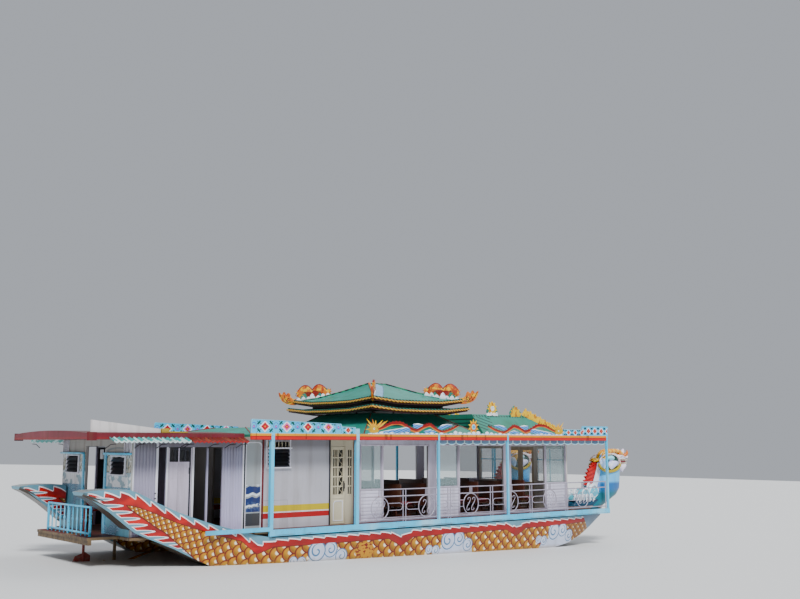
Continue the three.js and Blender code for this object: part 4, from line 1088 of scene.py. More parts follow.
# Galley doors: two ribbed leaves of pressed sheet side by side, dark rails, thin bars in the open upper part.
coat(pair("grille_door"), DARK_METAL)
DOOR_FACE, DOOR_SEAM = -1.94, 0.0004
RIBS_ACROSS = 7
ribs = []
for left, right in ((-7.368, -7.142), (-7.112, -6.862)):
    ribs += on_face([(left, right, 0.003, 1.165, 2.752)], DOOR_FACE, DOOR_SEAM)
    step = (right - left) / RIBS_ACROSS
    ribs += on_face([
        (left + k * step + 0.004, left + (k + 0.62) * step, 0.008, z0, z1)
        for k in range(RIBS_ACROSS) for z0, z1 in ((1.168, 1.885), (1.915, 2.335), (2.365, 2.75))
    ], DOOR_FACE, 0.002)
ribs += on_face([(x, x + 0.022, 0.008, 1.165, 3.065) for x in (-6.822, -7.378, -7.138)], DOOR_FACE, DOOR_SEAM)
ribs = boxes("grille_door_ribs", ribs, edge=0.0015, segments=1)
fit_pair(ribs, ALUMINIUM, body="grille_door")
bars = on_face([
    (x - 0.006, x + 0.006, -0.012, 2.764, 3.016)
    for x in (-7.3, -7.265, -7.175, -7.14, -7.05, -7.015, -6.925, -6.89)
], DOOR_FACE, -0.026)
lock_plate = on_face([(-6.88, -6.85, 0.009, 2.48, 2.62)], DOOR_FACE, 0.003)
bars = boxes("grille_door_bars", bars + lock_plate, edge=0.002, segments=1)
fit_pair(bars, DARK_METAL, body="grille_door")


# Saloon sides: aluminium frames round the bays with cover strips between them, ribbed white sheet under the
# glazed bays, and clear glass.
def saloon_paint():
    paint = Paint("saloon_wall_aluminium", (186, 182, 196), gloss=0.3, metal=0.3)
    paint.lay((150, 148, 148), paint.facing[1].size().under(0.5))
    return paint.dry(grime=0.35)


coat(pair("saloon_wall"), saloon_paint())
# columns: aft end, forward end, glazed
BAYS = [
    (-1.96, -1.28, True), (-1.22, 0.34, False), (0.64, 1.46, True), (1.52, 3.26, False),
    (3.58, 5.03, False), (5.11, 5.99, True),
]
SILL, OPEN_SILL, BAY_HEAD = 2.0, 1.25, 3.1
PANEL_FOOT, PANEL_RIBS = 1.16, 9
frames, ribs = [], []
for x0, x1, glazed in BAYS:
    low = SILL if glazed else OPEN_SILL
    frames += on_face([
        (x0 - 0.028, x0 - 0.002, 0.018, 1.152, 3.13), (x1 + 0.002, x1 + 0.028, 0.018, 1.152, 3.13),
        (x0 - 0.002, x1 + 0.002, 0.018, BAY_HEAD + 0.002, BAY_HEAD + 0.03),
        (x0 - 0.002, x1 + 0.002, 0.018, low - 0.03, low - 0.002),
    ])
    if glazed:
        stops = ((x0 + SEAM, x0 + 0.02), (x1 - 0.02, x1 - SEAM))
        frames += on_face([(a, b, -0.006, low, BAY_HEAD) for a, b in stops], back=-0.0195)
        step = (SILL - 0.034 - PANEL_FOOT) / PANEL_RIBS
        ribs += on_face([
            (x0, x1, 0.01, PANEL_FOOT + k * step, PANEL_FOOT + (k + 0.9) * step) for k in range(PANEL_RIBS)
        ])
fit_pair(boxes("saloon_frames", frames), ALUMINIUM)
panel_white = simple("saloon_panel_white", (214, 212, 226), gloss=0.32, grime=0.3)
fit_pair(boxes("saloon_ribs", ribs), panel_white)


def clear_glass():
    glass = bpy.data.materials.new("window_clear")
    glass.use_nodes = True
    shader = glass.node_tree.nodes["Principled BSDF"]
    shader.inputs["Base Color"].default_value = shade(176, 194, 196)
    shader.inputs["Roughness"].default_value = 0.04
    shader.inputs["Alpha"].default_value = 0.28
    return glass


GLASS = clear_glass()
for number in (1, 2, 3):
    coat(pair(f"window_pane_{number}"), GLASS)

# Cross walls: board lining with architraves round the doorways, front windows with glazing bars, and two
# front door leaves with a glazed upper half.
coat(["front_wall"], simple("front_wall_cream", (206, 202, 196), gloss=0.4))
coat(pair("front_door"), simple("front_door_beige", (180, 166, 146), gloss=0.35))
ARCHITRAVE = 0.06


def architrave(face, away, half, head):
    """Trim round a cross wall's doorway. It stands out from the face by away, aft where that is negative."""
    x0, x1 = sorted((face + math.copysign(SEAM, away), face + math.copysign(SEAM, away) + away))
    top = head + ARCHITRAVE
    return [
        (x0, x1, -half - ARCHITRAVE, -half - 0.004, 1.152, top),
        (x0, x1, half + 0.004, half + ARCHITRAVE, 1.152, top),
        (x0, x1, -half - 0.004, half + 0.004, head + 0.004, top),
    ]


trims = []
for node_name in ("galley_partition", "saloon_partition"):
    aft, fore = span(node_name)[:2]
    trims += architrave(aft, -0.012, 0.45, 3.05) + architrave(fore, 0.012, 0.45, 3.05)
trims += architrave(span("stern_wall")[1], 0.012, 0.55, 3.1)
fit(boxes("door_architraves", trims), lining)
aft, fore = span("front_wall")[:2]
front = architrave(fore, 0.012, 0.6, 3.06)
FRONT_WINDOWS = ((-1.8, -0.75), (0.75, 1.8))
for y0, y1 in FRONT_WINDOWS:
    middle = (y0 + y1) / 2
    front += [(fore + SEAM, fore + 0.015, y - 0.02, y + 0.02, 1.975, 3.025) for y in (y0 - 0.022, y1 + 0.022)]
    front += [(fore + SEAM, fore + 0.015, y0 - 0.002, y1 + 0.002, z - 0.02, z + 0.02) for z in (1.978, 3.022)]
    front += [
        (aft + 0.012, fore - 0.012, middle - 0.014, middle + 0.014, 2.0005, 2.9995),
        (aft + 0.014, fore - 0.014, y0 + SEAM, y1 - SEAM, 2.64, 2.665),
    ]
fit(boxes("front_wall_trims", front), LIGHT_BLUE)
panes = [(aft + 0.021, aft + 0.027, y0 + 0.001, y1 - 0.001, 2.001, 2.999) for y0, y1 in FRONT_WINDOWS]
fit(boxes("front_glass", panes, edge=0), GLASS)
pane = [(6.058, 6.063, -0.5045, -0.0955, 1.951, 2.944)]
fit_pair(boxes("front_door_glass", pane, edge=0), GLASS, body="front_door")
LEAF_SEAM = 6.0805
door_trims = [(LEAF_SEAM, 6.092, y, y + 0.024, 1.92, 2.97) for y in (-0.53, -0.094)]
door_trims += [(LEAF_SEAM, 6.092, -0.506, -0.094, z, z + 0.026) for z in (1.922, 2.946)]
door_trims += [(LEAF_SEAM, 6.088, -0.5, -0.1, 1.23, 1.84), (LEAF_SEAM, 6.11, -0.05, -0.02, 2.02, 2.15)]
fit_pair(boxes("front_door_trims", door_trims), WHITE_TRIM, body="front_door")


# Saloon benches: steel frames on two floor battens, each with a stuffed seat and back cushion in dark red
# vinyl. A cushion is two panels sewn together round its edge, with piping in the seam and two sewn channels
# across. columns: aft face of the first bench, pitch, count
BENCHES = (-1.45, 0.96, 7)
BENCH_SIDES = (-1.76, -0.64)


def stuffed(name, row, swell):
    """One cushion from its block: the seam stays in place and the panels swell out from it."""
    x0, x1, _, _, z0, z1 = row
    piece = boxes(name, [row], edge=0.018, segments=3)
    finish_with(piece, "REMESH", mode="VOXEL", voxel_size=0.024)
    thin, middle = (0, (x0 + x1) / 2) if x1 - x0 < z1 - z0 else (2, (z0 + z1) / 2)
    seam = [v.index for v in piece.data.vertices if abs(v.co[thin] - middle) < 0.014]
    piece.vertex_groups.new(name="seam").add(seam, 1.0, "REPLACE")
    start = [v.co.copy() for v in piece.data.vertices]
    pick(piece)
    cloth = piece.modifiers.new("stuffing", "CLOTH")
    cloth.settings.use_pressure = True
    cloth.settings.uniform_pressure_force = 4.0
    cloth.settings.effector_weights.gravity = 0.0
    cloth.settings.vertex_group_mass = "seam"
    stage = bpy.context.scene
    for moment in range(1, 21):
        stage.frame_set(moment)
    bpy.ops.object.modifier_apply(modifier=cloth.name)
    stage.frame_set(1)
    for vertex, before in zip(piece.data.vertices, start):
        step = vertex.co - before
        if step.length > swell:
            vertex.co = before + step.normalized() * swell
    piece.vertex_groups.clear()
    finish_with(piece, "SMOOTH", factor=0.5, iterations=2)
    return finish_with(piece, "SUBSURF", levels=1, render_levels=1)


def copies(piece, name, count, pitch):
    """The piece and its copies at a pitch along the boat, in one mesh."""
    rows = [piece]
    for k in range(1, count):
        pick(piece)
        bpy.ops.object.duplicate()
        one = bpy.context.object
        one.location.x = pitch * k
        rows.append(settle(one))
    return joined(name, rows)


def vinyl():
    paint = Paint("seat_red_vinyl", (96, 22, 34), gloss=0.42)
    grain = paint.noise(160.0, 3.0)
    across = (paint.y.size() - 1.2).size()
    channel = (across - 0.19).size().ramp(0.012, 0.003)
    paint.lay((54, 10, 18), channel)
    paint.lay((138, 60, 60), paint.noise(2.4, 4.0).ramp(0.56, 0.75) * 0.5)
    return paint.dry(grime=0.25, relief=0.004, height=grain * 0.15 - channel * 1.5)


def ring_round(u0, u1, v0, v1, cut=0.01):
    """A ring with cut corners."""
    return [
        (u0, v0 + cut), (u0 + cut, v0), (u1 - cut, v0), (u1, v0 + cut),
        (u1, v1 - cut), (u1 - cut, v1), (u0 + cut, v1), (u0, v1 - cut),
    ]


first, pitch, count = BENCHES
y0, y1 = BENCH_SIDES
VINYL = vinyl()
seat_row = (first + 0.105, first + 0.455, y0 + 0.015, y1 - 0.015, 1.515, 1.59)
back_row = (first + 0.032, first + 0.08, y0 + 0.015, y1 - 0.015, 1.62, 2.065)
for part, row, swell in (("seat_cushions", seat_row, 0.024), ("back_cushions", back_row, 0.022)):
    piece = copies(stuffed(part, row, swell), part, count, pitch)
    fit_pair(piece, VINYL, replaces="seat_bank", smooth=60)
    for cushions in pair(part):
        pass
battens = (-1.56, -0.9)
piping, frame_rows = [], [(-1.5, 5.24, y, y + 0.06, DECK, 1.21) for y in battens]
for shift in (k * pitch for k in range(count)):
    a, b, c, d, low, high = seat_row
    piping.append(([(x, y, (low + high) / 2) for x, y in ring_round(a + shift, b + shift, c, d)], True))
    a, b, c, d, low, high = back_row
    piping.append(([((a + b) / 2 + shift, y, z) for y, z in ring_round(c, d, low, high)], True))
    x = first + shift
    frame_rows += [
        (x, x + 0.47, y0, y1, 1.48, 1.5), (x, x + 0.024, y0, y1, 1.5, 2.08),
        (x + 0.446, x + 0.47, y0, y1, 1.455, 1.5),
    ]
    frame_rows += [
        (x + u, x + u + 0.035, y + 0.012, y + 0.047, 1.205, 1.485) for u in (0.04, 0.38) for y in battens
    ]
piping_red = simple("piping_black_red", (52, 14, 20), gloss=0.4)
fit_pair(tubes("seat_piping", piping, 0.007), piping_red, replaces="seat_bank", smooth=60)
bench_brown = simple("bench_brown_enamel", (74, 44, 36), gloss=0.4)
fit_pair(boxes("bench_frames", frame_rows, edge=0.004), bench_brown, replaces="seat_bank")


# Ceiling and stern roof: painted boards under the saloon roof, a maroon sheet roof over the galley with
# corrugated awnings bolted along its edges, and the back of an old white signboard, blank, on the starboard
# edge.
def board_ceiling():
    paint = Paint("ceiling_boards", (176, 172, 160), gloss=0.45)
    paint.lay((96, 92, 84), lines(paint.y, 0.2, 0.035))
    return paint.dry(grime=0.4)


def maroon_roof():
    paint = Paint("stern_roof_maroon", (118, 40, 52), gloss=0.42)
    paint.lay((96, 74, 70), paint.facing[2].over(0.6))
    paint.lay((150, 84, 92), paint.noise(1.4, 4.0).ramp(0.5, 0.75) * 0.5)
    paint.lay((150, 44, 50), paint.z.within(3.25, 3.3) * 0.6)
    return paint.dry(grime=0.5)


def awning_paint(name, color, stripe, share, lip):
    """Corrugated plastic sheet with paler waves, and a lip along its lower edge."""
    paint = Paint(name, color, gloss=0.35)
    blot = paint.noise(3.1, 2.0, (1, 0.2, 0.2)).over(0.47)
    paint.lay(stripe, lines(paint.x, 0.22, share) * blot)
    paint.lay(stripe, lines(paint.x + 0.07, 0.55, share * 0.6) * 0.8)
    paint.lay(lip, paint.y.size().over(2.452))
    return paint.dry(grime=0.45)


coat(["ceiling"], board_ceiling())
coat(["stern_roof"], maroon_roof())
teal = awning_paint("awning_teal", (56, 148, 146), (196, 220, 220), 0.15, (206, 222, 222))
coat(pair("stern_awning"), teal)
coat(pair("mid_awning"), awning_paint("awning_rust", (116, 50, 36), (140, 82, 64), 0.3, (170, 36, 34)))
sign_dust = (128, 120, 118)
coat(["roof_panel"], simple("sign_back_white", (214, 210, 210), grime=0.7, grime_color=sign_dust))
ROOF_SEAM = -2.2005
fit_pair(boxes("roof_edge_boards", [
    (-9.392, -5.6, -2.204, ROOF_SEAM, 3.384, 3.396), (-9.396, -9.18, -2.21, ROOF_SEAM, 3.225, 3.4),
    (-7.075, -7.045, -2.248, ROOF_SEAM, 3.235, 3.3),
], edge=0.001, segments=1), MAROON_POST)
# The row of bolts leaves out the place where the awnings meet.
bolts = [
    (x - 0.008, x + 0.008, -2.262, -2.246, 3.27, 3.292)
    for x in (-8.87 + 0.096 * k for k in range(34)) if not -7.11 < x < -7.05
]
fit_pair(boxes("awning_bolts", bolts, segments=1), DARK_METAL)
braces = [
    ([(x, -1.955, 3.06), (x, -2.2, 3.14), (x, -2.455, 3.148)], False)
    for x in (-8.86, -8.2, -7.68, -7.12, -7.03, -6.4, -5.96, -5.66)
]
fit_pair(tubes("awning_brackets", braces, 0.009), DARK_METAL)
fit(boxes("roof_stowed_boards", [
    (-7.66, -7.48, -2.15, -2.06, 3.386, 3.49), (-7.47, -7.03, -2.15, -2.08, 3.386, 3.424),
], edge=0.006), simple("stowed_board_ochre", (178, 160, 84), gloss=0.5, grime=0.5))
fit(boxes("sign_battens", [
    (-9.27 + 0.385 * k, -9.235 + 0.385 * k, -2.1095, -2.08, 3.388, 3.636 - 0.042 * k) for k in range(5)
]), simple("batten_timber", (120, 104, 84), gloss=0.6))


# Eaves: plywood fascia with a red and a yellow band, and light blue boards at both ends painted with diamond
# flowers between leaves. Half-round beads cover the joints. A cut tin trim with scallops hangs under the
# bands.
def eave_paint(name, along, dirty):
    """Board paint. Along is the axis that the board runs on. Flowers are worked out round their middles,
    and they are larger on the taller boards."""
    paint = Paint(name, (112, 190, 222), gloss=0.3)
    run = getattr(paint, along)
    reach = run if along == "x" else run.size()
    bow = reach.over(5.0) if along == "x" else reach.over(0.5)
    big = run.under(-2.99 if along == "x" else -99.0)
    high = run.over(6.2) if along == "x" else reach.over(1.53)
    v = paint.z - (big * 0.066 + high * 0.05 + 3.49)
    size = big * 0.042 + high * 0.022 + 0.093

    def diamond(pitch, start, here, colors, leaf):
        number = ((run - start) / pitch + 0.5).floor()
        u = run - start - number * pitch
        span_out = u.size() / (size * 1.12) + v.size() / size
        odd = (number / 2.0).part().over(0.25)
        slant = (u.size() + v.size() - size * 1.9).size() / (size * 0.24)
        leaves = slant.most((u.size() - v.size() - size * 0.6).size() / (size * 0.62))
        paint.lay(leaf, leaves.under(1.0) * here)
        stem = (u.size() * 0.55 - v.size()).size().under(0.01) * u.size().within(0.04, 0.22)
        paint.lay(leaf, stem * here)
        paint.lay((244, 240, 246), span_out.under(1.0) * here)
        petal = paint.blend(colors[0], colors[1], odd)
        for color, reach_out in ((petal, 0.74), ((196, 20, 70), 0.42), ((250, 200, 40), 0.14)):
            paint.lay(color, span_out.under(reach_out) * here)
        return u

    stern_here = run.under(-2.0) if along == "x" else run.over(99.0)
    u = diamond(0.608, -5.22, stern_here, ((200, 28, 60), (214, 120, 170)), (16, 74, 66))
    swirl = (u.size() - 0.304).reach(v)
    turning = (v.apply("ARCTAN2", u.size() - 0.304) / math.tau + swirl * 9.0).part()
    paint.lay((86, 128, 196), turning.under(0.2) * swirl.within(0.03, 0.12) * stern_here)
    paint.lay((120, 60, 160), swirl.under(0.034) * stern_here)
    paint.lay((236, 190, 220), swirl.under(0.012) * stern_here)
    diamond(0.31, 5.545, bow, ((206, 24, 56), (190, 24, 60)), (22, 24, 34))
    paint.lay((226, 40, 28), paint.z.under(3.33))
    paint.lay((250, 172, 20), paint.z.within(3.33, 3.398))
    paint.lay((226, 190, 60), paint.z.within(3.38, 3.398) * run.under(-2.5))
    drip = paint.noise(5.0, 3.0, (1, 1, 0.05)).over(0.64) * paint.z.within(3.25, 3.41)
    paint.lay((90, 44, 24), drip * dirty)
    return paint.dry(grime=0.2)


def trim_paint():
    """Grey-blue tin with a pale line down each joint and along the scalloped edge."""
    paint = Paint("valance_grey_blue", (96, 120, 144), gloss=0.35)
    step = 7.025 / 22
    across = ((paint.x - 0.305) / step).part()
    dip = (across * math.pi).apply("SINE") * 0.045
    paint.lay((126, 150, 170), paint.noise(3.0, 3.0).ramp(0.45, 0.6) * 0.5)
    paint.lay((196, 226, 234), (paint.z + dip).under(3.183))
    paint.lay((204, 230, 238), (across - 0.5).size().over(0.44))
    return paint.dry(grime=0.3)


coat(pair("side_eave_board"), eave_paint("eave_side_painted", "x", 0.6))
coat(["bow_eave_board"], eave_paint("eave_bow_painted", "y", 0.4))
coat(pair("valance"), trim_paint())
BEAD_RED = simple("bead_dark_red", (168, 26, 30), gloss=0.3)
beads = [([(x, EAVE_FACE - 0.001, z) for x in (MAIN_AFT, MAIN_FORE)], False) for z in (3.253, 3.331)]
fit_pair(tubes("eave_beads", beads, 0.007), BEAD_RED)
# Rims round the painted boards: x and height along the sides, distance from the middle and height at the bow
aft, fore = MAIN_AFT + 0.006, MAIN_FORE - 0.006
RIM_FOOT = FASCIA_TOP + 0.004
rims = [
    [
        (aft, RIM_FOOT), (aft, 3.684), (aft + 0.028, 3.718), (-3.014, 3.634), (-2.984, 3.566),
        (-2.564, 3.556), (-2.548, RIM_FOOT),
    ],
    [(5.312, RIM_FOOT), (5.338, 3.574), (6.178, 3.574), (6.214, 3.682), (fore, 3.682), (fore, RIM_FOOT)],
]
rims = tubes("board_rims", [([(x, EAVE_FACE, z) for x, z in rim], False) for rim in rims], 0.01)
fit_pair(rims, LIGHT_BLUE)
CLEATS = (-5.4, -4.4, -3.4, -2.7, 5.5, 6.4, 7.3)
cleats = [(x - 0.012, x + 0.012, -2.4585, -2.4385, 3.3105, 3.38) for x in CLEATS]
cleat_timber = simple("cleat_timber", (126, 108, 84), gloss=0.6)
fit_pair(boxes("eave_cleats", cleats, edge=0.002), cleat_timber)
BOW_RIM = ((0.94, RIM_FOOT), (0.966, 3.574), (1.528, 3.574), (1.566, 3.682), (2.452, 3.682))
bow_rims = [([(MAIN_FORE, side * y, z) for y, z in BOW_RIM], False) for side in (-1, 1)]
fit(tubes("bow_board_rims", bow_rims, 0.01), LIGHT_BLUE)
bow_beads = [([(MAIN_FORE, -2.455, z), (MAIN_FORE, 2.455, z)], False) for z in (3.256, 3.331, 3.396)]
fit(tubes("bow_eave_beads", bow_beads, 0.007), BEAD_RED)


# Eave dragons: two figures cut from sheet metal and painted on both faces, standing on the fascia over a
# strip of cloud. They turn away from a flaming pearl. Their wings and fans of long locks are separate sheets,
# riveted on.
def ribbon(spine, width, steps=5):
    """Outline of a body with a width that changes along its spine, from 0 to 1."""
    line = smooth_line(spine, steps, closed=False)
    left, right = [], []
    for k, (u, v) in enumerate(line):
        (u0, v0), (u1, v1) = line[max(k - 1, 0)], line[min(k + 1, len(line) - 1)]
        long = math.hypot(u1 - u0, v1 - v0) or 1.0
        half = width(k / (len(line) - 1)) / 2
        across = (-(v1 - v0) / long * half, (u1 - u0) / long * half)
        left.append((u + across[0], v + across[1]))
        right.append((u - across[0], v - across[1]))
    return left + right[::-1]


def ray_burst(u, v, inner, outer, count, start=0.0, end=1.0, squash=1.0):
    """Pointed locks round a middle, angles in turns."""
    spots = []
    for k in range(count * 2 + 1):
        turn = math.tau * (start + (end - start) * k / (count * 2))
        reach = outer if k % 2 else inner
        spots.append((u + reach * math.cos(turn), v + reach * squash * math.sin(turn)))
    return spots


PEARL_X, PEARL_HIGH = 1.57, 0.215
DRAGON_BACK, DRAGON_FRONT = -2.468, -2.496
SHEET_THICK, LAYER_STEP = 0.014, 0.0035
# Root of the locks of the fan, as distance from the pearl and height over the fascia
FAN_U, FAN_V = 3.5, 0.1
# columns: distance from the pearl, height over the fascia
DRAGON_SPINE = [
    (0.57, 0.255), (0.85, 0.14), (1.19, 0.065), (1.45, 0.165), (1.62, 0.245), (1.85, 0.19), (2.09, 0.085),
    (2.3, 0.14), (2.62, 0.275), (2.95, 0.265), (3.25, 0.16), (3.5, 0.095),
]
# Feathered wings over the dips and under the arches. Each is a low edge and a high edge from the pearl
# outwards.
WINGS = [
    (
        [(0.84, 0.225), (1.02, 0.185), (1.17, 0.135), (1.32, 0.15)],
        [(0.8, 0.265), (1.0, 0.285), (1.17, 0.265), (1.3, 0.2)],
    ),
    ([(1.42, 0.045), (1.62, 0.04), (1.8, 0.045)], [(1.4, 0.08), (1.62, 0.135), (1.84, 0.08)]),
    ([(1.9, 0.215), (2.06, 0.15), (2.2, 0.175)], [(1.86, 0.255), (2.04, 0.29), (2.22, 0.265)]),
    (
        [(2.32, 0.06), (2.7, 0.035), (3.05, 0.02), (3.36, 0.02)],
        [(2.32, 0.15), (2.44, 0.185), (2.7, 0.15), (3.05, 0.105), (3.38, 0.05)],
    ),
]
# columns: tip of a lock of the head's fan, breadth at its foot
LOCKS = [
    (3.82, 0.12, 0.05), (3.76, 0.25, 0.05), (3.77, 0.39, 0.05), (3.65, 0.31, 0.05), (3.58, 0.38, 0.055),
    (3.47, 0.35, 0.06), (3.38, 0.27, 0.05), (3.24, 0.36, 0.06), (3.16, 0.33, 0.05), (3.07, 0.35, 0.05),
    (3.7, 0.05, 0.05),
]


def body_width(t):
    return 0.03 + 0.06 * math.sin(math.pi * min(1.0, t * 0.7 + 0.12))


def dragon_sheets(side):
    """All sheets of one dragon: its outlines, its layer (0 at the back) and its paint."""
    def put(outline):
        placed = [(PEARL_X + side * u, FASCIA_TOP + v) for u, v in outline]
        return placed if side > 0 else placed[::-1]

    line = smooth_line(DRAGON_SPINE, 6, closed=False)
    crest = []
    for k in range(3, len(line) - 8, 2):
        (u0, v0), (u1, v1) = line[k - 1], line[k + 1]
        long = math.hypot(u1 - u0, v1 - v0)
        au, av = (u1 - u0) / long, (v1 - v0) / long
        half = body_width(k / len(line)) / 2 - 0.006
        u, v = line[k][0] - av * half, line[k][1] + au * half
        crest.append(put([
            (u - au * 0.03, v - av * 0.03), (u - av * 0.034 - au * 0.012, v + au * 0.034 - av * 0.012),
            (u + au * 0.03, v + av * 0.03),
        ]))
    locks = []
    for u, v, broad in LOCKS:
        long = math.hypot(u - FAN_U, v - FAN_V)
        cu, cv = -(v - FAN_V) / long * broad / 2, (u - FAN_U) / long * broad / 2
        bu, bv = FAN_U + (u - FAN_U) * 0.5, FAN_V + (v - FAN_V) * 0.5
        locks.append(put([
            (FAN_U - cu * 0.6, FAN_V - cv * 0.6), (bu - cu, bv - cv), (u, v), (bu + cu, bv + cv),
            (FAN_U + cu * 0.6, FAN_V + cv * 0.6),
        ]))
    skull = put(smooth_line([
        (3.38, 0.07), (3.42, 0.15), (3.52, 0.19), (3.62, 0.16), (3.7, 0.15), (3.68, 0.11), (3.61, 0.1),
        (3.68, 0.06), (3.6, 0.03), (3.46, 0.03),
    ], 3))
    wings = [put(low + high[::-1]) for low, high in WINGS]
    return [
        (crest, 0, "scales"), ([put(ribbon(DRAGON_SPINE, body_width, 4))], 1, "scales"),
        (wings, 2, "feather"), (locks[::2], 2, "flame"), (locks[1::2], 3, "flame"), ([skull], 4, "flame"),
    ]


def eave_dragons():
    """Sheets in layers a few millimetres apart, sorted by paint."""
    found = {"flame": [], "scales": [], "feather": [], "cloud": []}

    def add(paint, outline, low, high, edge=0.002):
        found[paint].append(plates("sheet", [outline], "y", low, high, edge))

    for side in (-1, 1):
        for outlines, layer, paint in dragon_sheets(side):
            back = DRAGON_BACK - layer * LAYER_STEP
            for outline in outlines:
                add(paint, outline, back - SHEET_THICK, back)
    pearl = ray_burst(PEARL_X, FASCIA_TOP + PEARL_HIGH, 0.115, 0.205, 10, 0.0, 1.0, 1.1)[:-1]
    add("flame", pearl, DRAGON_BACK - SHEET_THICK, DRAGON_BACK)
    turns = [math.tau * k / 24 for k in range(24)]
    bead = [(PEARL_X + 0.062 * math.cos(t), FASCIA_TOP + PEARL_HIGH + 0.075 * math.sin(t)) for t in turns]
    add("cloud", bead, DRAGON_FRONT, DRAGON_FRONT + 0.018, 0.004)
    cloud_end, bumps = 3.72, 43
    pitch = 2 * cloud_end / bumps
    top = []
    for k in range(bumps):
        left = PEARL_X - cloud_end + k * pitch
        away = abs(left + pitch / 2 - PEARL_X)
        high = 0.012 + 0.036 * (k * 7 % 5) / 4 + (0.045 if away < 0.2 or 0.5 < away < 0.85 else 0.0)
        for turn in (math.pi * t for t in (0.0, 0.25, 0.5, 0.75)):
            u = left + pitch * (0.5 - 0.5 * math.cos(turn))
            top.append((u, FASCIA_TOP + 0.012 + high * math.sin(turn)))
    strip = [(PEARL_X + cloud_end, FASCIA_TOP), (PEARL_X - cloud_end, FASCIA_TOP)] + top
    add("cloud", strip, DRAGON_FRONT + 0.002, DRAGON_FRONT + 0.014, 0.003)
    return {paint: joined(f"eave_dragon_{paint}", sheets) for paint, sheets in found.items()}


def from_pearl(paint):
    """Distance from the pearl and height over the fascia."""
    return (paint.x - PEARL_X).size(), paint.z - FASCIA_TOP


def sheet_scales():
    """Dark red back with round scales, and an orange belly that follows the lower edge of the body."""
    paint = Paint("eave_dragon_red", (160, 18, 26), gloss=0.3)
    away, _ = from_pearl(paint)
    middle = away.along([(u, FASCIA_TOP + v) for u, v in DRAGON_SPINE] + [(3.75, FASCIA_TOP + 0.09)])
    distance = paint.group("dragon_scales", away / 0.055, (paint.z - middle) / 0.04)[0]
    paint.lay((120, 12, 20), distance.ramp(0.42, 0.52))
    paint.lay((40, 14, 16), away.under(0.66))
    below = (middle - paint.z).ramp(0.01, 0.02)
    paint.lay((244, 150, 50), below)
    paint.lay((190, 84, 24), below * ((away / 0.035).part() - 0.5).size().over(0.42))
    return paint.dry(grime=0.2)


def sheet_flame():
    """Yellow locks with orange edges, and an orange ring round the pearl."""
    paint = Paint("eave_dragon_flame", (236, 200, 24), gloss=0.32)
    away, high = from_pearl(paint)
    heart = away.reach(high - PEARL_HIGH)
    paint.lay((238, 128, 20), (heart - 0.105).size().under(0.02) * away.under(0.4))
    turn = (high - FAN_V).apply("ARCTAN2", away - FAN_U)
    paint.lay((214, 110, 22), ((turn * 3.2).part() - 0.5).size().over(0.36) * away.over(3.0))
    paint.lay((206, 172, 20), away.within(3.36, 3.72) * high.under(0.2))
    eye = (away - 3.53).reach(high - 0.135)
    paint.lay((250, 250, 240), eye.under(0.026))
    paint.lay((20, 20, 24), eye.under(0.013))
    return paint.dry(grime=0.2)


# Line along the middle of the wings, as distance from the pearl and height over the fascia
WING_TIPS = [
    (0.78, 0.24), (1.0, 0.255), (1.32, 0.19), (1.34, 0.05), (1.62, 0.105), (1.85, 0.06), (1.86, 0.23),
    (2.24, 0.25), (2.26, 0.13), (2.44, 0.15), (3.4, 0.03),
]


def sheet_feather():
    """Blue vanes with white edges, slanted away from the pearl."""
    paint = Paint("eave_dragon_feather", (56, 118, 182), gloss=0.32)
    away, high = from_pearl(paint)
    off_vane = (((away * 0.35 + high) / 0.052).part() - 0.5).size()
    paint.lay((170, 206, 230), off_vane.over(0.4))
    paint.lay((44, 92, 160), off_vane.under(0.1))
    paint.lay((244, 250, 252), (high - away.along(WING_TIPS)).over(0.016))
    return paint.dry(grime=0.2)


def sheet_cloud():
    """White bumps with blue scrolls, and a pearl with a blue middle."""
    paint = Paint("eave_dragon_cloud", (240, 244, 250), gloss=0.34)
    away, high = from_pearl(paint)
    bump = ((paint.x - PEARL_X) / 0.173).part() - 0.5
    paint.lay((126, 176, 206), (bump.reach(high / 0.17) - 0.2).size().under(0.05) * high.under(0.11))
    heart = away.reach(high - PEARL_HIGH)
    paint.lay((150, 200, 224), heart.under(0.09))
    paint.lay((70, 130, 176), heart.under(0.034))
    return paint.dry(grime=0.25)


SHEET_PAINTS = {
    "flame": sheet_flame(), "scales": sheet_scales(), "feather": sheet_feather(), "cloud": sheet_cloud(),
}
for kind, piece in eave_dragons().items():
    fit_pair(piece, SHEET_PAINTS[kind], replaces="eave_dragons", smooth=30)


# Roofs: green painted sheet on battens, hipped over the store, under the pavilion and forward. The pavilion
# has two eaves with turned-up corners, edged with a yellow rope moulding over a row of dark studs.
PAVILION_X = 0.11
# columns: half length, half breadth, height of the edge
UPPER_EAVE = (1.65, 1.9, 4.27)
LOWER_EAVE = (1.76, 2.0, 4.035)
EAVE_LIFT = 0.095
HIP = [(1.65, 1.9, 4.365), (1.2, 1.33, 4.445), (0.76, 0.72, 4.625), (0.3, 0.02, 4.86)]


def roof_paint(name):
    """Sheets with a lap every metre, painted shade where the slope is steep, and dark stains under the laps.
    """
    paint = Paint(name, (48, 124, 112), gloss=0.45)
    # Painted shade: the steeper a face, the darker it is painted
    steep_shade = paint.facing[2].ramp(0.95, 0.7)
    paint.lay((34, 108, 88), steep_shade * 0.5)
    paint.lay((92, 150, 146), paint.noise(1.1, 4.0).ramp(0.45, 0.72) * 0.5)
    lap = lines(paint.x, 1.02, 0.012).most(lines(paint.y, 1.3, 0.01) * paint.facing[0].size().over(0.3))
    paint.lay((24, 84, 62), lap * 0.7)
    return paint


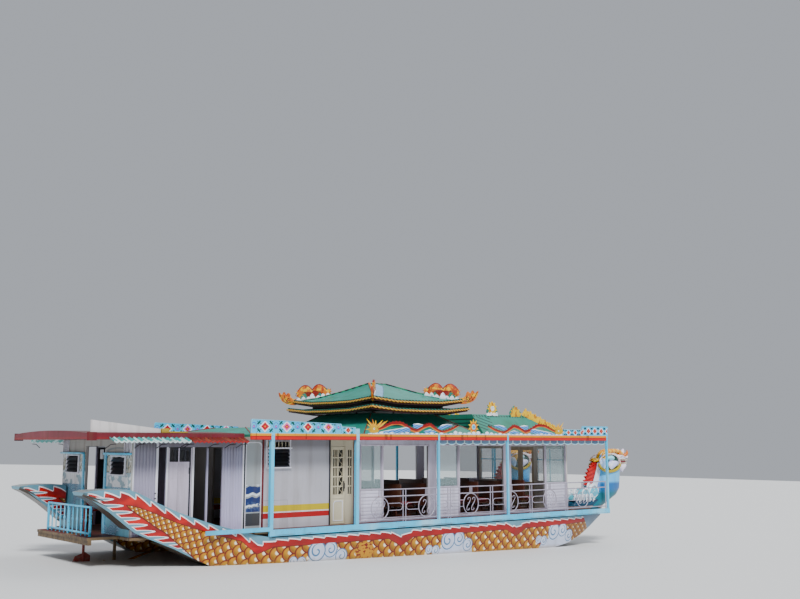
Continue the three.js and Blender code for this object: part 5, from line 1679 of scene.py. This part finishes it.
def eave_line(eave, inward=0.0, up=0.0):
    """The edge of an eave, straight between the same stations as its sheet, as a run for tubes."""
    half_x, half_y, z = eave
    half_x, half_y, z = half_x - inward, half_y - inward, z + up
    stations = [(t, z + EAVE_LIFT * abs(t) ** 3) for t in (-1.0, -0.5, 0.0, 0.5)]
    return (
        [(PAVILION_X + t * half_x, -half_y, high) for t, high in stations]
        + [(PAVILION_X + half_x, t * half_y, high) for t, high in stations]
        + [(PAVILION_X - t * half_x, half_y, high) for t, high in stations]
        + [(PAVILION_X - half_x, -t * half_y, high) for t, high in stations]
    ), True


def pavilion_paint(name, eave, hips):
    half_x, half_y, _ = eave
    paint = roof_paint(name)
    x, y = (paint.x - PAVILION_X).size(), paint.y.size()
    from_end, from_side = x.from_(half_x), y.from_(half_y)
    paint.lay((210, 160, 30), from_end.least(from_side).under(0.035))
    if hips:
        hip_x = y.along([(0.0, 0.29), (0.02, 0.3), (0.72, 0.76), (1.33, 1.2), (1.9, 1.65)])
        beside = hip_x - x - (paint.z - 4.37) * 0.35
        strip = beside.within(0.04, 0.34) * paint.facing[1].under(-0.05) * (paint.x - PAVILION_X).under(0.0)
        paint.lay((132, 164, 190), strip)
        paint.lay((70, 104, 132), strip * (beside - 0.19).size().over(0.125))
    paint.lay((58, 26, 24), paint.facing[2].under(-0.2))
    return paint.dry(grime=0.25)


def forward_paint():
    paint = roof_paint("forward_roof_green")
    stud = ((paint.x / 0.115).part() - 0.5) * 0.115
    paint.lay((14, 40, 34), stud.reach(paint.z - 3.962).under(0.03) * paint.facing[2].under(0.98))
    streak = (paint.z - 3.7 + (paint.x - 2.42) * 0.34) / 0.11
    dark = (streak.part() - 0.5).size().under(0.14) * paint.x.under(3.05) * paint.z.within(3.55, 3.92)
    paint.lay((22, 40, 38), dark)
    return paint.dry(grime=0.25)


coat(["store_roof"], roof_paint("store_roof_green").dry(grime=0.25))
coat(["skirt_roof"], roof_paint("skirt_roof_green").dry(grime=0.25))
coat(["forward_roof"], forward_paint())
coat(["pavilion_upper_roof"], pavilion_paint("pavilion_upper_green", UPPER_EAVE, True))
coat(["pavilion_lower_roof"], pavilion_paint("pavilion_lower_green", LOWER_EAVE, False))
coat(["pavilion_base", "clerestory"], simple("clerestory_dark", (40, 34, 34), gloss=0.5))


def rope_paint():
    """Moulded rope: slanted strands, each with a painted highlight on its crown and painted shade between
    them.
    """
    paint = Paint("rope_moulding_gold", (222, 166, 40), gloss=0.3)
    strand = ((paint.x + paint.y + paint.z * 2.0) / 0.115).part()
    # Painted highlight along the crown of each strand
    paint.lay((246, 214, 130), (strand - 0.5).size().under(0.12))
    # Painted shade in the grooves between the strands
    paint.lay((84, 34, 14), (strand - 0.5).size().over(0.34))
    return paint.dry(grime=0.25)


EAVES = (UPPER_EAVE, LOWER_EAVE)
fit(tubes("eave_ropes", [eave_line(eave) for eave in EAVES], 0.026, 3), rope_paint())
drip_red = simple("drip_brown_red", (78, 22, 26))
fit(tubes("eave_drips", [eave_line(eave, 0.04, -0.052) for eave in EAVES], 0.02), drip_red)
beading = Paint("eave_beading_black", (14, 24, 22), gloss=0.4)
beading.lay((48, 124, 112), ((beading.x + beading.y) / 0.115).part().over(0.6))
beading = beading.dry(grime=0.2)
fit(tubes("eave_beading", [eave_line(eave, 0.02, 0.044) for eave in EAVES], 0.02), beading)


def hip_run(side_x, side_y):
    return [(PAVILION_X + side_x * x, side_y * y, z + 0.012) for x, y, z in HIP], False


def dashed():
    paint = Paint("hip_cap_dashed", (44, 128, 98), gloss=0.4)
    paint.lay((12, 22, 20), ((paint.x + paint.z) / 0.17).part().under(0.55))
    return paint.dry(grime=0.25)


ridge = [(PAVILION_X - 0.3, 0, 4.868), (PAVILION_X + 0.3, 0, 4.868)], False
hips = [hip_run(1, -1), hip_run(1, 1), hip_run(-1, 1), ridge]
fit(tubes("hip_caps", hips, 0.022, 3), dashed())
cap_orange = simple("hip_cap_orange", (214, 128, 34), gloss=0.35, grime=0.5)
fit(tubes("hip_cap_aft", [hip_run(-1, -1)], 0.034, 3), cap_orange)
# Boards on the pavilion base, between its two eaves. columns: ends on each side, then ends fore and aft
SIDE_BOARDS = ((-0.95, -0.35), (-0.28, 0.3), (0.36, 0.95))
END_BOARDS = ((-1.05, -0.4), (-0.32, 0.32), (0.4, 1.05))
base_boards = [
    (PAVILION_X + a, PAVILION_X + b, side * 1.129 - 0.006, side * 1.129 + 0.006, 3.985, 4.034)
    for side in (-1, 1) for a, b in SIDE_BOARDS
] + [
    (PAVILION_X + side * 1.009 - 0.006, PAVILION_X + side * 1.009 + 0.006, a, b, 3.985, 4.034)
    for side in (-1, 1) for a, b in END_BOARDS
]
fit(boxes("pavilion_boards", base_boards), simple("board_grey", (126, 128, 130), gloss=0.45))
# columns: foot x, half breadth there, top x, half breadth there, height of the top
LOW_HIPS = (
    (-5.54, 2.43, -4.7, 0.76, 3.56), (-1.98, 2.07, -1.0, 1.15, 3.98),
    (5.91, 2.07, 4.61, 1.52, 4.01), (2.33, 2.07, 1.3, 1.15, 3.98),
)
hip_lines = [
    ([(x0, side * half, 3.372), (x1, side * top_half, top + 0.002)], False)
    for x0, half, x1, top_half, top in LOW_HIPS for side in (-1, 1)
]
cap_brown = simple("hip_cap_red_brown", (132, 62, 48), grime=0.4)
fit(tubes("low_hip_caps", hip_lines, 0.016), cap_brown)

# Corner ornaments: cut and layered sheet, painted on both faces. A flame curls up from each corner of the
# upper eave, and behind it a dragon lies along the hip in two coils over white cloud.
HIP_LONG = math.hypot(1.65, 1.9)
EDGE_Z = 4.225
# Outline of the corner flame, and the lines painted on it, from the corner of the eave outwards
CURL = [
    (-0.17, 0.075), (-0.02, 0.045), (0.14, 0.07), (0.24, 0.115), (0.31, 0.165), (0.39, 0.285), (0.42, 0.415),
    (0.375, 0.4), (0.32, 0.345), (0.3, 0.38), (0.265, 0.435), (0.225, 0.415), (0.19, 0.345), (0.155, 0.385),
    (0.105, 0.405), (0.07, 0.35), (0.04, 0.27), (-0.05, 0.22), (-0.17, 0.215),
]
CURL_LINES = [
    [(0.1, 0.09), (0.23, 0.15), (0.32, 0.25), (0.375, 0.36)], [(0.12, 0.13), (0.21, 0.22), (0.255, 0.34)],
    [(-0.14, 0.16), (0.02, 0.14), (0.1, 0.12)],
]
# Middle line of the coiled body, as distance from the pavilion's middle along the hip, and height
COILS = [
    (2.34, 4.5), (2.27, 4.64), (2.14, 4.75), (2.03, 4.68), (1.95, 4.56), (1.86, 4.62), (1.74, 4.765),
    (1.62, 4.72), (1.53, 4.62), (1.45, 4.66),
]


def spiral(u, v, start, end, turns, phase, steps=22):
    spots = []
    for t in (k / steps for k in range(steps + 1)):
        reach, turn = start + (end - start) * t, math.tau * (turns * t + phase)
        spots.append((u + reach * math.cos(turn), v + reach * math.sin(turn)))
    return spots


def cloud_outline(start, end, floor_at, bumps, high):
    """Bumps on a base line that follows the hip."""
    top = []
    for k in range(bumps):
        for t in (0.0, 0.25, 0.5, 0.75):
            u = start + (end - start) * (k + t) / bumps
            top.append((u, floor_at(u) + 0.03 + high * (1 + 0.35 * (k % 2)) * math.sin(math.pi * t)))
    return [(end, floor_at(end) - 0.02), (start, floor_at(start) - 0.02)] + top


def hip_height(reach):
    spots = [(math.hypot(x, y), z) for x, y, z in HIP]
    for (r0, z0), (r1, z1) in zip(spots, spots[1:]):
        if reach >= r1:
            return z0 + (z1 - z0) * (reach - r0) / (r1 - r0)
    return spots[-1][1]


def at_corner(points):
    return [(HIP_LONG + u, EDGE_Z + v) for u, v in points]


def swell(t):
    return 0.13 + 0.05 * math.sin(math.pi * t)


def hip_sheets():
    """The layers of one corner in the plane of its hip: paint, outline and half thickness."""
    return [
        ("flame", smooth_line(at_corner(CURL), 2), 0.026),
        ("red", ribbon(COILS, lambda t: swell(t) + 0.06, 4), 0.022),
        ("flame", ray_burst(2.3, 4.6, 0.06, 0.17, 7, 0.02, 0.62), 0.024),
        ("flame", ray_burst(1.43, 4.67, 0.05, 0.105, 7), 0.026), ("flame", ribbon(COILS, swell, 4), 0.029),
        ("cloud", cloud_outline(2.4, 1.38, hip_height, 7, 0.065), 0.034),
        ("cloud", cloud_outline(2.02, 1.82, hip_height, 1, 0.15), 0.03),
    ]


def corner_set():
    """Pieces of one corner along +X, before they are turned to their hips."""
    found = {}
    for kind, outline, half in hip_sheets():
        found.setdefault(kind, []).append(plates("sheet", [outline], "y", -half, half))
    curl = spiral(HIP_LONG + 0.1, EDGE_Z + 0.195, 0.075, 0.015, 1.4, 0.62)
    painted = [
        ([(u, side * 0.028, v) for u, v in path], False)
        for side in (-1, 1) for path in (curl, *(at_corner(tongue) for tongue in CURL_LINES))
    ]
    found["line"] = [tubes("line", painted, 0.008)]
    return {kind: joined(f"hip_dragon_{kind}", pieces) for kind, pieces in found.items()}


def ornament_flame():
    paint = Paint("ornament_flame", (226, 140, 30), gloss=0.3)
    paint.lay((250, 204, 40), paint.noise(9.0, 2.0).ramp(0.5, 0.62))
    paint.lay((176, 60, 20), paint.noise(7.0, 2.0, (1, 1, 0.6)).ramp(0.46, 0.42) * 0.8)
    return paint.dry(grime=0.2)


def ornament_cloud():
    paint = Paint("ornament_cloud", (240, 242, 246), gloss=0.32)
    paint.lay((126, 176, 196), paint.noise(12.0, 2.0).ramp(0.58, 0.62) * 0.8)
    paint.lay((36, 44, 52), paint.noise(8.0, 2.0).ramp(0.655, 0.675))
    return paint.dry(grime=0.25)


ORNAMENT = {
    "flame": ornament_flame(), "cloud": ornament_cloud(),
    "red": simple("ornament_red", (150, 40, 18), gloss=0.3),
    "line": simple("ornament_line", (60, 26, 20), gloss=0.35),
}
EAVE_HALF_X, EAVE_HALF_Y, _ = UPPER_EAVE
layers = {}
for side_x in (1, -1):
    for kind, piece in corner_set().items():
        piece.rotation_euler.z = math.atan2(-EAVE_HALF_Y, side_x * EAVE_HALF_X)
        piece.location.x = PAVILION_X
        layers.setdefault(kind, []).append(settle(piece))
for kind, pieces in layers.items():
    fit_pair(joined(f"hip_dragon_{kind}", pieces), ORNAMENT[kind], smooth=30)

# Forward roof ornaments: a flaming pearl on a cloud, a leaf of flame, and flames down both front hips.
y_low, y_high = -1.566, -1.518
pearl = (3.24, 4.185)
leaf = [
    (4.04, 3.96), (4.0, 4.08), (4.06, 4.06), (4.03, 4.17), (4.1, 4.14), (4.1, 4.24), (4.16, 4.19),
    (4.19, 4.3), (4.25, 4.21), (4.3, 4.27), (4.32, 4.17), (4.4, 4.19), (4.39, 4.09), (4.49, 4.07),
    (4.42, 3.96),
]
flames = [
    plates("flame", [ray_burst(*pearl, 0.135, 0.205, 11, 0.02, 1.0, 1.05)[:-1]], "y", y_low, y_high),
    plates("flame", [leaf], "y", y_low, y_high),
]
# The front hip runs this far aft to fore and inboard to outboard, and drops by the fall.
FRONT_HIP, HIP_FALL = (1.3, 0.55), 0.64
long = math.hypot(*FRONT_HIP)
tongues = []
for k in range(9):
    u = long * (0.03 + 0.112 * k)
    z = 4.01 - HIP_FALL * u / long
    high = 0.24 - 0.012 * k
    tongues.append(smooth_line([
        (u - 0.1, z + 0.03), (u - 0.04, z + high * 0.55), (u + 0.05, z + high), (u + 0.075, z + high * 0.6),
        (u + 0.15, z + high * 0.62), (u + 0.13, z + 0.02), (u + 0.1, z - 0.05), (u - 0.05, z - 0.02),
    ], 2))
for some, half in ((tongues[::2], 0.02), (tongues[1::2], 0.028)):
    piece = plates("flame", some, "y", -half, half)
    piece.rotation_euler.z = math.atan2(-FRONT_HIP[1], FRONT_HIP[0])
    piece.location = (4.61, -1.52, 0)
    flames.append(settle(piece))
paint = Paint("roof_flame_yellow", (244, 206, 24), gloss=0.32)
paint.lay((198, 142, 16), paint.noise(11.0, 2.0, (1, 1, 0.5)).ramp(0.54, 0.6))
fit_pair(joined("roof_flames", flames), paint.dry(grime=0.2), smooth=30)
turns = [math.tau * k / 20 for k in range(20)]
bead = [(pearl[0] + 0.075 * math.cos(turn), pearl[1] + 0.075 * math.sin(turn)) for turn in turns]
fit_pair(joined("roof_pearl", [
    plates("bead", [bead], "y", y_low - 0.012, y_high + 0.012, edge=0.006),
    plates("cloud", [cloud_outline(3.02, 3.47, lambda u: 3.99, 4, 0.05)], "y", y_low - 0.006, y_high + 0.006),
]), ORNAMENT["cloud"], smooth=30)


# Bow dragons: each head and neck is modelled in cement over a bent steel core and painted, as the boatyards
# of such boats do. It rises from a bed of carved waves on the foredeck and looks forward with its jaws open.
HEAD_Y = -1.96


def stack(name, sides, rings, along="z"):
    """A closed body pushed out ring by ring. Each ring: place along the axis, middle on the others,
    halves."""
    deselect()
    turn = (0, 0, 0) if along == "z" else (0, math.pi / 2, 0)

    def spot(ring):
        place, u, v, _, _ = ring
        return (u, v, place) if along == "z" else (place, u, v)

    def scale(ring):
        _, _, _, half_u, half_v = ring
        return (half_u, half_v, 1.0) if along == "z" else (1.0, half_u, half_v)

    bpy.ops.mesh.primitive_circle_add(
        vertices=sides, radius=1.0, fill_type="NGON", location=spot(rings[0]), rotation=turn,
    )
    piece = settle(named(bpy.context.object, name))
    shape_all()
    bpy.ops.transform.resize(value=scale(rings[0]), center_override=spot(rings[0]))
    for before, after in zip(rings, rings[1:]):
        step = [b - a for a, b in zip(spot(before), spot(after))]
        bpy.ops.mesh.extrude_region_move(TRANSFORM_OT_translate={"value": step})
        ratio = [b / a for a, b in zip(scale(before), scale(after))]
        bpy.ops.transform.resize(value=ratio, center_override=spot(after))
    clean()
    return piece


def ball(name, middle, radii, segments=24, rings=16):
    deselect()
    bpy.ops.mesh.primitive_uv_sphere_add(
        segments=segments, ring_count=rings, radius=1.0, location=middle, scale=radii,
    )
    return settle(named(bpy.context.object, name))


def fused(name, pieces, voxel, smooth):
    """Pieces grown together into one skin, and rubbed smooth."""
    body = joined(name, pieces)
    finish_with(body, "REMESH", mode="VOXEL", voxel_size=voxel)
    finish_with(body, "SMOOTH", factor=0.5, iterations=smooth)
    return body


def tapered(name, points, radii):
    """A round horn, whisker or lock along a smooth line, thick where its radius is large."""
    path = new_curve(name, 1.0, 2)
    path.use_fill_caps = True
    spots = smooth_line([(*point, radius) for point, radius in zip(points, radii)], 4, closed=False)
    line = add_line(path, [spot[:3] for spot in spots], False)
    for point, spot in zip(line.points, spots):
        point.radius = max(spot[3], 0.002)
    piece = made_from(path, name)
    clean(TUBE_MERGE)
    return piece


def both_faces(name, rows):
    """The same locks on both faces of the head. Each row: points as x, distance from the middle, z, and
    radii."""
    return joined(name, [
        tapered(name, [(x, HEAD_Y + side * away, z) for x, away, z in points], radii)
        for side in (-1, 1) for points, radii in rows
    ])


# columns: height, x of the middle, half along the boat, half across
NECK = [
    (1.15, 7.06, 0.42, 0.205), (1.35, 7.42, 0.5, 0.21), (1.55, 7.8, 0.56, 0.205), (1.75, 7.97, 0.57, 0.2),
    (1.95, 8.03, 0.54, 0.195), (2.2, 8.09, 0.5, 0.19), (2.45, 8.09, 0.48, 0.185),
]
FACE = (7.91, 2.563, 0.5, 0.262)


def head_skin():
    neck = stack("neck", 24, [(z, x, HEAD_Y, along, across) for z, x, along, across in NECK])
    skull = ball("skull", (8.1, HEAD_Y, 2.62), (0.48, 0.205, 0.315))
    muzzle = stack("muzzle", 20, [
        (8.32, HEAD_Y, 2.66, 0.17, 0.125), (8.6, HEAD_Y, 2.695, 0.14, 0.085), (8.8, HEAD_Y, 2.7, 0.12, 0.072),
        (8.93, HEAD_Y, 2.71, 0.11, 0.072), (9.0, HEAD_Y, 2.71, 0.06, 0.04),
    ], along="x")
    jaw = stack("jaw", 20, [
        (8.3, HEAD_Y, 2.48, 0.14, 0.085), (8.62, HEAD_Y, 2.485, 0.115, 0.046),
        (8.84, HEAD_Y, 2.5, 0.09, 0.038), (8.92, HEAD_Y, 2.51, 0.05, 0.022),
    ], along="x")
    # Brows and nostrils: x, distance from the middle, z, and radii
    bulbs = [
        ball("bulb", (x, HEAD_Y + side * away, z), radii, 16, 10) for x, away, z, radii in (
            (8.5, 0.12, 2.755, (0.15, 0.06, 0.055)), (8.95, 0.06, 2.745, (0.07, 0.045, 0.045)),
        ) for side in (-1, 1)
    ]
    return fused("dragon_head_skin", [neck, skull, muzzle, jaw, *bulbs], 0.02, 5)


def head_cheeks():
    """Bulbs in the round face on both sides: a drop aft, a broad cheek forward and a lobe above them."""
    bulbs = []
    for side in (-1, 1):
        y = HEAD_Y + side * 0.185
        bulbs += [
            stack("cheek", 20, [
                (2.345, 7.6, y, 0.03, 0.02), (2.4, 7.6, y, 0.1, 0.06), (2.5, 7.575, y, 0.155, 0.085),
                (2.6, 7.56, y, 0.155, 0.08), (2.67, 7.57, y, 0.1, 0.055), (2.7, 7.58, y, 0.03, 0.02),
            ]),
            stack("cheek", 20, [
                (2.335, 7.98, y, 0.03, 0.02), (2.39, 8.0, y, 0.11, 0.06), (2.47, 8.06, y, 0.215, 0.09),
                (2.55, 8.1, y, 0.255, 0.085), (2.6, 8.1, y, 0.21, 0.06), (2.62, 8.09, y, 0.1, 0.03),
            ]),
            ball("lobe", (7.98, y, 2.7), (0.165, 0.075, 0.085)),
        ]
    piece = joined("dragon_head_cheeks", bulbs)
    return finish_with(piece, "SUBSURF", levels=1, render_levels=1)


def face_arc(start, end, count, out=1.0):
    """Points round the face as x, z, from one turn to another in degrees. The bow is at zero."""
    x, z, half, high = FACE
    turns = [math.radians(start + (end - start) * k / count) for k in range(count + 1)]
    return [(x + half * out * math.cos(t), z + high * out * math.sin(t)) for t in turns]


def head_locks():
    """Two rows of leaves from the nape to the brow, and a tuft where the fin starts."""
    line = smooth_line([
        (7.68, 2.64), (7.72, 2.74), (7.79, 2.83), (7.87, 2.89), (7.97, 2.935), (8.08, 2.955), (8.2, 2.96),
        (8.35, 2.955), (8.5, 2.93), (8.6, 2.87),
    ], 2, closed=False)
    rows = []
    for k, (x, z) in enumerate(line):
        # The leaves are larger over the nape than over the brow.
        thick, lean, drop = (0.05, -0.05, 0.12) if k < 8 else (0.036, -0.02, 0.06)
        for away in (0.045, 0.125):
            low = (x + 0.07, away, z - drop)
            leaf = [low, (x, away + 0.02, z - 0.02), (x + lean, away, z + 0.035)]
            rows.append((leaf, (thick, thick * 1.1, 0.008)))
    for k in range(4):
        turn = math.radians(150 + 22 * k)
        bend = (7.42, 0.02 * k, 2.655 + 0.05 * math.sin(turn))
        tip = (7.46 + 0.25 * math.cos(turn), 0.02 * k, 2.655 + 0.1 * math.sin(turn))
        rows.append(([(7.66, 0.03, 2.64), bend, tip], (0.045, 0.036, 0.006)))
    return both_faces("dragon_head_locks", rows)


def head_fin():
    """Red fin down the back of the neck, cut into long teeth."""
    line = [(7.66, 1.82), (7.02, 1.82)]
    for x, z in (
        (6.8, 1.9), (6.8, 2.02), (6.86, 2.14), (6.92, 2.26), (7.0, 2.37), (7.1, 2.47), (7.2, 2.56),
        (7.3, 2.62),
    ):
        line += [(x, z), (x + 0.15, z + 0.035)]
    line += [(7.54, 2.66), (7.66, 2.52), (7.66, 2.25), (7.6, 2.0)]
    return plates("dragon_head_fin", [line], "y", HEAD_Y - 0.035, HEAD_Y + 0.035, edge=0.01)


def head_teeth():
    rows = []
    for k in range(6):
        x = 8.62 + 0.065 * k
        away = 0.115 - 0.01 * k
        long = 0.055 if k == 4 else 0.03
        rows.append(([(x, away, 2.65), (x + 0.008, away, 2.64 - long)], (0.018, 0.004)))
        x, away = x - 0.02, away * 0.9
        rows.append(([(x, away, 2.52), (x, away, 2.53 + long * 0.7)], (0.015, 0.004)))
    return both_faces("dragon_head_teeth", rows)


def head_mouth():
    tongue = tapered("tongue", [
        (8.45, HEAD_Y, 2.56), (8.7, HEAD_Y, 2.565), (8.9, HEAD_Y, 2.58), (9.0, HEAD_Y, 2.61),
    ], (0.06, 0.06, 0.045, 0.012))
    return joined("dragon_head_mouth", [tongue, ball("gum", (8.6, HEAD_Y, 2.58), (0.24, 0.105, 0.06))])


def wave_curl(x, z, radius, away):
    """One carved curl as a row for both_faces."""
    spots = [(x - radius * 1.15, away, z - radius * 1.6), (x - radius * 1.1, away, z - radius * 0.4)]
    for k in range(9):
        t = k / 8
        turn, reach = math.tau * (0.5 - 1.35 * t), radius * (1 - 0.8 * t)
        spots.append((x + reach * math.cos(turn), away, z + reach * math.sin(turn)))
    return spots, [radius * 0.36, radius * 0.34] + [radius * (0.32 - 0.2 * k / 8) for k in range(9)]


def wave_bed():
    """Carved waves: a dark swell along the deck and three humped crests on it."""
    base = plates("base", [[
        (6.14, 1.15), (7.46, 1.15), (7.56, 1.32), (7.46, 1.44), (6.9, 1.42), (6.4, 1.43), (6.22, 1.38),
        (6.14, 1.28),
    ]], "y", HEAD_Y - 0.185, HEAD_Y + 0.185, edge=0.03)
    humps = [
        plates("hump", [smooth_line([
            (x - r, 1.4), (x - r * 0.95, z - r * 0.5), (x - r * 0.55, z - r * 0.08), (x, z),
            (x + r * 0.6, z - r * 0.12), (x + r, z - r * 0.7), (x + r, 1.4),
        ], 3)], "y", HEAD_Y - half, HEAD_Y + half, edge=0.025)
        for x, z, r, half in ((6.4, 1.63, 0.18, 0.12), (6.74, 1.77, 0.21, 0.15), (7.16, 1.88, 0.24, 0.12))
    ]
    return joined("dragon_head_waves", [base, *humps])


def wave_rims():
    """White rims over the humps and white curls in two rows before them, on both faces."""
    rows = [wave_curl(6.28 + 0.16 * k, 1.44, 0.042, 0.195) for k in range(6)]
    rows += [wave_curl(6.24 + 0.185 * k, 1.545, 0.068, 0.18) for k in range(5)]
    for curl in ((6.33, 1.69, 0.075, 0.1), (6.98, 1.87, 0.075, 0.09), (7.12, 1.86, 0.06, 0.12)):
        rows.append(wave_curl(*curl))
    for x, z, r, away in ((6.74, 1.6, 0.205, 0.155), (7.17, 1.68, 0.23, 0.125)):
        arc = ((-1, -0.4), (-0.75, 0.4), (-0.1, 0.82), (0.6, 0.6), (0.98, -0.2))
        rows.append(([(x + r * c, away, z + r * s) for c, s in arc], (0.012, 0.024, 0.026, 0.022, 0.01)))
    return both_faces("dragon_head_rims", rows)


def skin_paint():
    """Light blue neck, dark green ground behind the cheeks, white snout with grey outlines, dark red gums."""
    paint = Paint("dragon_head_blue", (100, 176, 230), gloss=0.3)
    x, z = paint.x, paint.z
    face_x, face_z, half, high = FACE
    paint.lay((150, 200, 226), paint.noise(2.2, 3.0, (1, 1, 0.3)).ramp(0.45, 0.65) * 0.6)
    paint.lay((48, 104, 156), z.ramp(1.98, 1.9))
    paint.lay((18, 104, 116), z.ramp(1.74, 1.6))
    away = ((x - face_x) / half).reach((z - face_z) / high)
    side = paint.facing[1].size().over(0.3)
    paint.lay((240, 238, 244), z.over(2.44) * away.over(0.98))
    snout = x.over(8.5) * z.over(2.4)
    paint.lay((246, 244, 250), snout)
    paint.lay((28, 62, 52), away.under(1.0) * side)
    lips = (z - 2.745 + (x - 8.6).size() * 0.2).size().under(0.013).most((z - 2.47).size().under(0.01))
    paint.lay((96, 112, 136), lips * snout)
    inner = paint.facing[2].size().over(0.45) * z.within(2.5, 2.67) * x.over(8.42)
    paint.lay((120, 12, 44), inner)
    return paint.dry(grime=0.2)


def cheek_paint():
    paint = Paint("dragon_head_lilac", (208, 212, 246), gloss=0.28)
    paint.lay((176, 206, 244), paint.x.under(7.75))
    paint.lay((168, 222, 236), paint.z.over(2.645) * paint.x.over(7.75))
    paint.lay((250, 250, 255), paint.noise(5.0, 2.0).ramp(0.48, 0.62) * 0.8)
    fleck = (paint.z - 2.672).size().under(0.012) * paint.x.within(7.84, 8.04)
    paint.lay((52, 150, 170), fleck)
    return paint.dry(grime=0.15)


def lock_paint():
    paint = Paint("dragon_head_gold_locks", (252, 206, 130), gloss=0.32)
    paint.lay((238, 156, 40), (((paint.x - 7.7) / 0.19).part() - 0.5).size().ramp(0.26, 0.4))
    paint.lay((246, 206, 30), paint.x.ramp(7.78, 7.7))
    strand = ((paint.x * 8.0 + paint.z * 3.0).part() - 0.5).size()
    paint.lay((196, 126, 16), strand.over(0.42) * paint.x.under(7.74))
    return paint.dry(grime=0.2)


def fin_paint():
    """Crimson, with brighter ribs out to the teeth and a broad white edge along the neck."""
    paint = Paint("dragon_head_red_fin", (206, 22, 34), gloss=0.32)
    rib = ((paint.z * 8.4 - paint.x * 2.5).part() - 0.5).size()
    paint.lay((232, 96, 90), rib.over(0.4) * paint.x.under(7.22))
    paint.lay((138, 10, 26), rib.under(0.09))
    neck_edge = paint.z.along([
        (0.0, 7.18), (1.82, 7.18), (1.95, 7.24), (2.2, 7.36), (2.45, 7.46), (2.7, 7.5),
    ])
    paint.lay((226, 232, 242), (paint.x - neck_edge).over(0.0))
    paint.lay((120, 14, 26), (paint.x - neck_edge).within(-0.025, 0.0))
    return paint.dry(grime=0.2)


def wave_paint():
    """Pale cyan humps with painted shade in grooves, over a dark sea-green swell that meets the deck in grey.
    """
    paint = Paint("dragon_wave_blue", (126, 188, 202), gloss=0.3)
    # Painted shade: darker slanted lines on the tall hump stand for grooves, which are not modelled
    groove_shade = ((paint.x * 9.0 + paint.z * 2.0).part() - 0.5).size()
    paint.lay((120, 168, 200), groove_shade.under(0.12) * paint.x.over(6.93))
    paint.lay((236, 246, 250), paint.noise(5.0, 2.0).ramp(0.56, 0.62))
    paint.lay((30, 54, 80), paint.z.under(1.44))
    ripple = ((paint.z * 20.0 + (paint.x * 9.0).apply("SINE") * 0.5).part() - 0.5).size()
    paint.lay((56, 94, 108), ripple.over(0.34) * paint.z.under(1.38))
    paint.lay((150, 134, 130), paint.z.under(1.25))
    return paint.dry(grime=0.25)


white_arc = [(x, 0.2, z) for x, z in face_arc(-8, 172, 14, 1.03)]
gold_arc = [(x, 0.19, z) for x, z in face_arc(186, 354, 14, 1.08)]
gold_radii = [0.03, 0.042, 0.046] + [0.048] * 9 + [0.046, 0.042, 0.03]
horn = [(8.64, 0.07, 2.72), (8.66, 0.09, 2.84), (8.7, 0.1, 2.93), (8.73, 0.1, 2.985)]
horn_rows = [(horn, (0.078, 0.07, 0.058, 0.024))]
brow_flame = [(8.5, 0.1, 2.74), (8.49, 0.13, 2.83), (8.54, 0.14, 2.9), (8.57, 0.12, 2.95)]
snout_flame = [(8.8, 0.05, 2.74), (8.86, 0.08, 2.8), (8.94, 0.09, 2.86), (8.96, 0.07, 2.95)]
flame_rows = [
    (brow_flame, (0.05, 0.044, 0.03, 0.006)), (snout_flame, (0.05, 0.052, 0.044, 0.008)),
    ([(8.84, 0.04, 2.74), (8.96, 0.06, 2.79), (9.02, 0.05, 2.86)], (0.04, 0.036, 0.006)),
]
beard_rows = [
    ([
        (8.5 + 0.065 * k, 0.085 - 0.008 * k, 2.48), (8.56 + 0.045 * k, 0.09 - 0.01 * k, 2.38),
        (8.66 + 0.028 * k, 0.03, 2.33 - 0.03 * (3 - abs(k - 3))),
    ], (0.05, 0.042, 0.006))
    for k in range(7)
]
# columns: piece, its name, its finish
HEAD_PARTS = [
    (head_skin(), "skin", skin_paint()), (head_cheeks(), "cheeks", cheek_paint()),
    (both_faces("rim", [(white_arc, [0.02] * 15)]), "rim", simple("dragon_rim_white", (246, 226, 226), 0.3)),
    (
        both_faces("ring", [(gold_arc, gold_radii)]), "ring",
        simple("dragon_ring_olive", (178, 162, 40), 0.35, grime=0.3),
    ),
    (head_locks(), "locks", lock_paint()), (head_fin(), "fin", fin_paint()),
    (head_teeth(), "teeth", simple("dragon_ivory", (250, 246, 226), 0.25, grime=0.2)),
    (head_mouth(), "mouth", simple("dragon_mouth_red", (126, 8, 50), 0.25, grime=0.1)),
    (both_faces("horns", horn_rows), "horns", simple("dragon_horn_lilac", (226, 216, 234), 0.3, grime=0.2)),
    (
        both_faces("flames", flame_rows), "flames",
        simple("dragon_flame_orange", (226, 142, 44), 0.3, grime=0.2),
    ),
    (both_faces("beard", beard_rows), "beard", simple("dragon_beard_white", (242, 236, 250), grime=0.2)),
    (wave_bed(), "waves", wave_paint()),
    (wave_rims(), "wave_rims", simple("dragon_wave_white", (240, 244, 250), 0.3, grime=0.3)),
]
for piece, part_name, finish in HEAD_PARTS:
    piece = named(piece, f"dragon_head_{part_name}")
    fit_pair(piece, finish, replaces="dragon_head", smooth=30 if part_name == "fin" else 60)


boxes = {"cad": cad_box, "visual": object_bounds()}
{key: [list(corner) for corner in box] for key, box in boxes.items()}
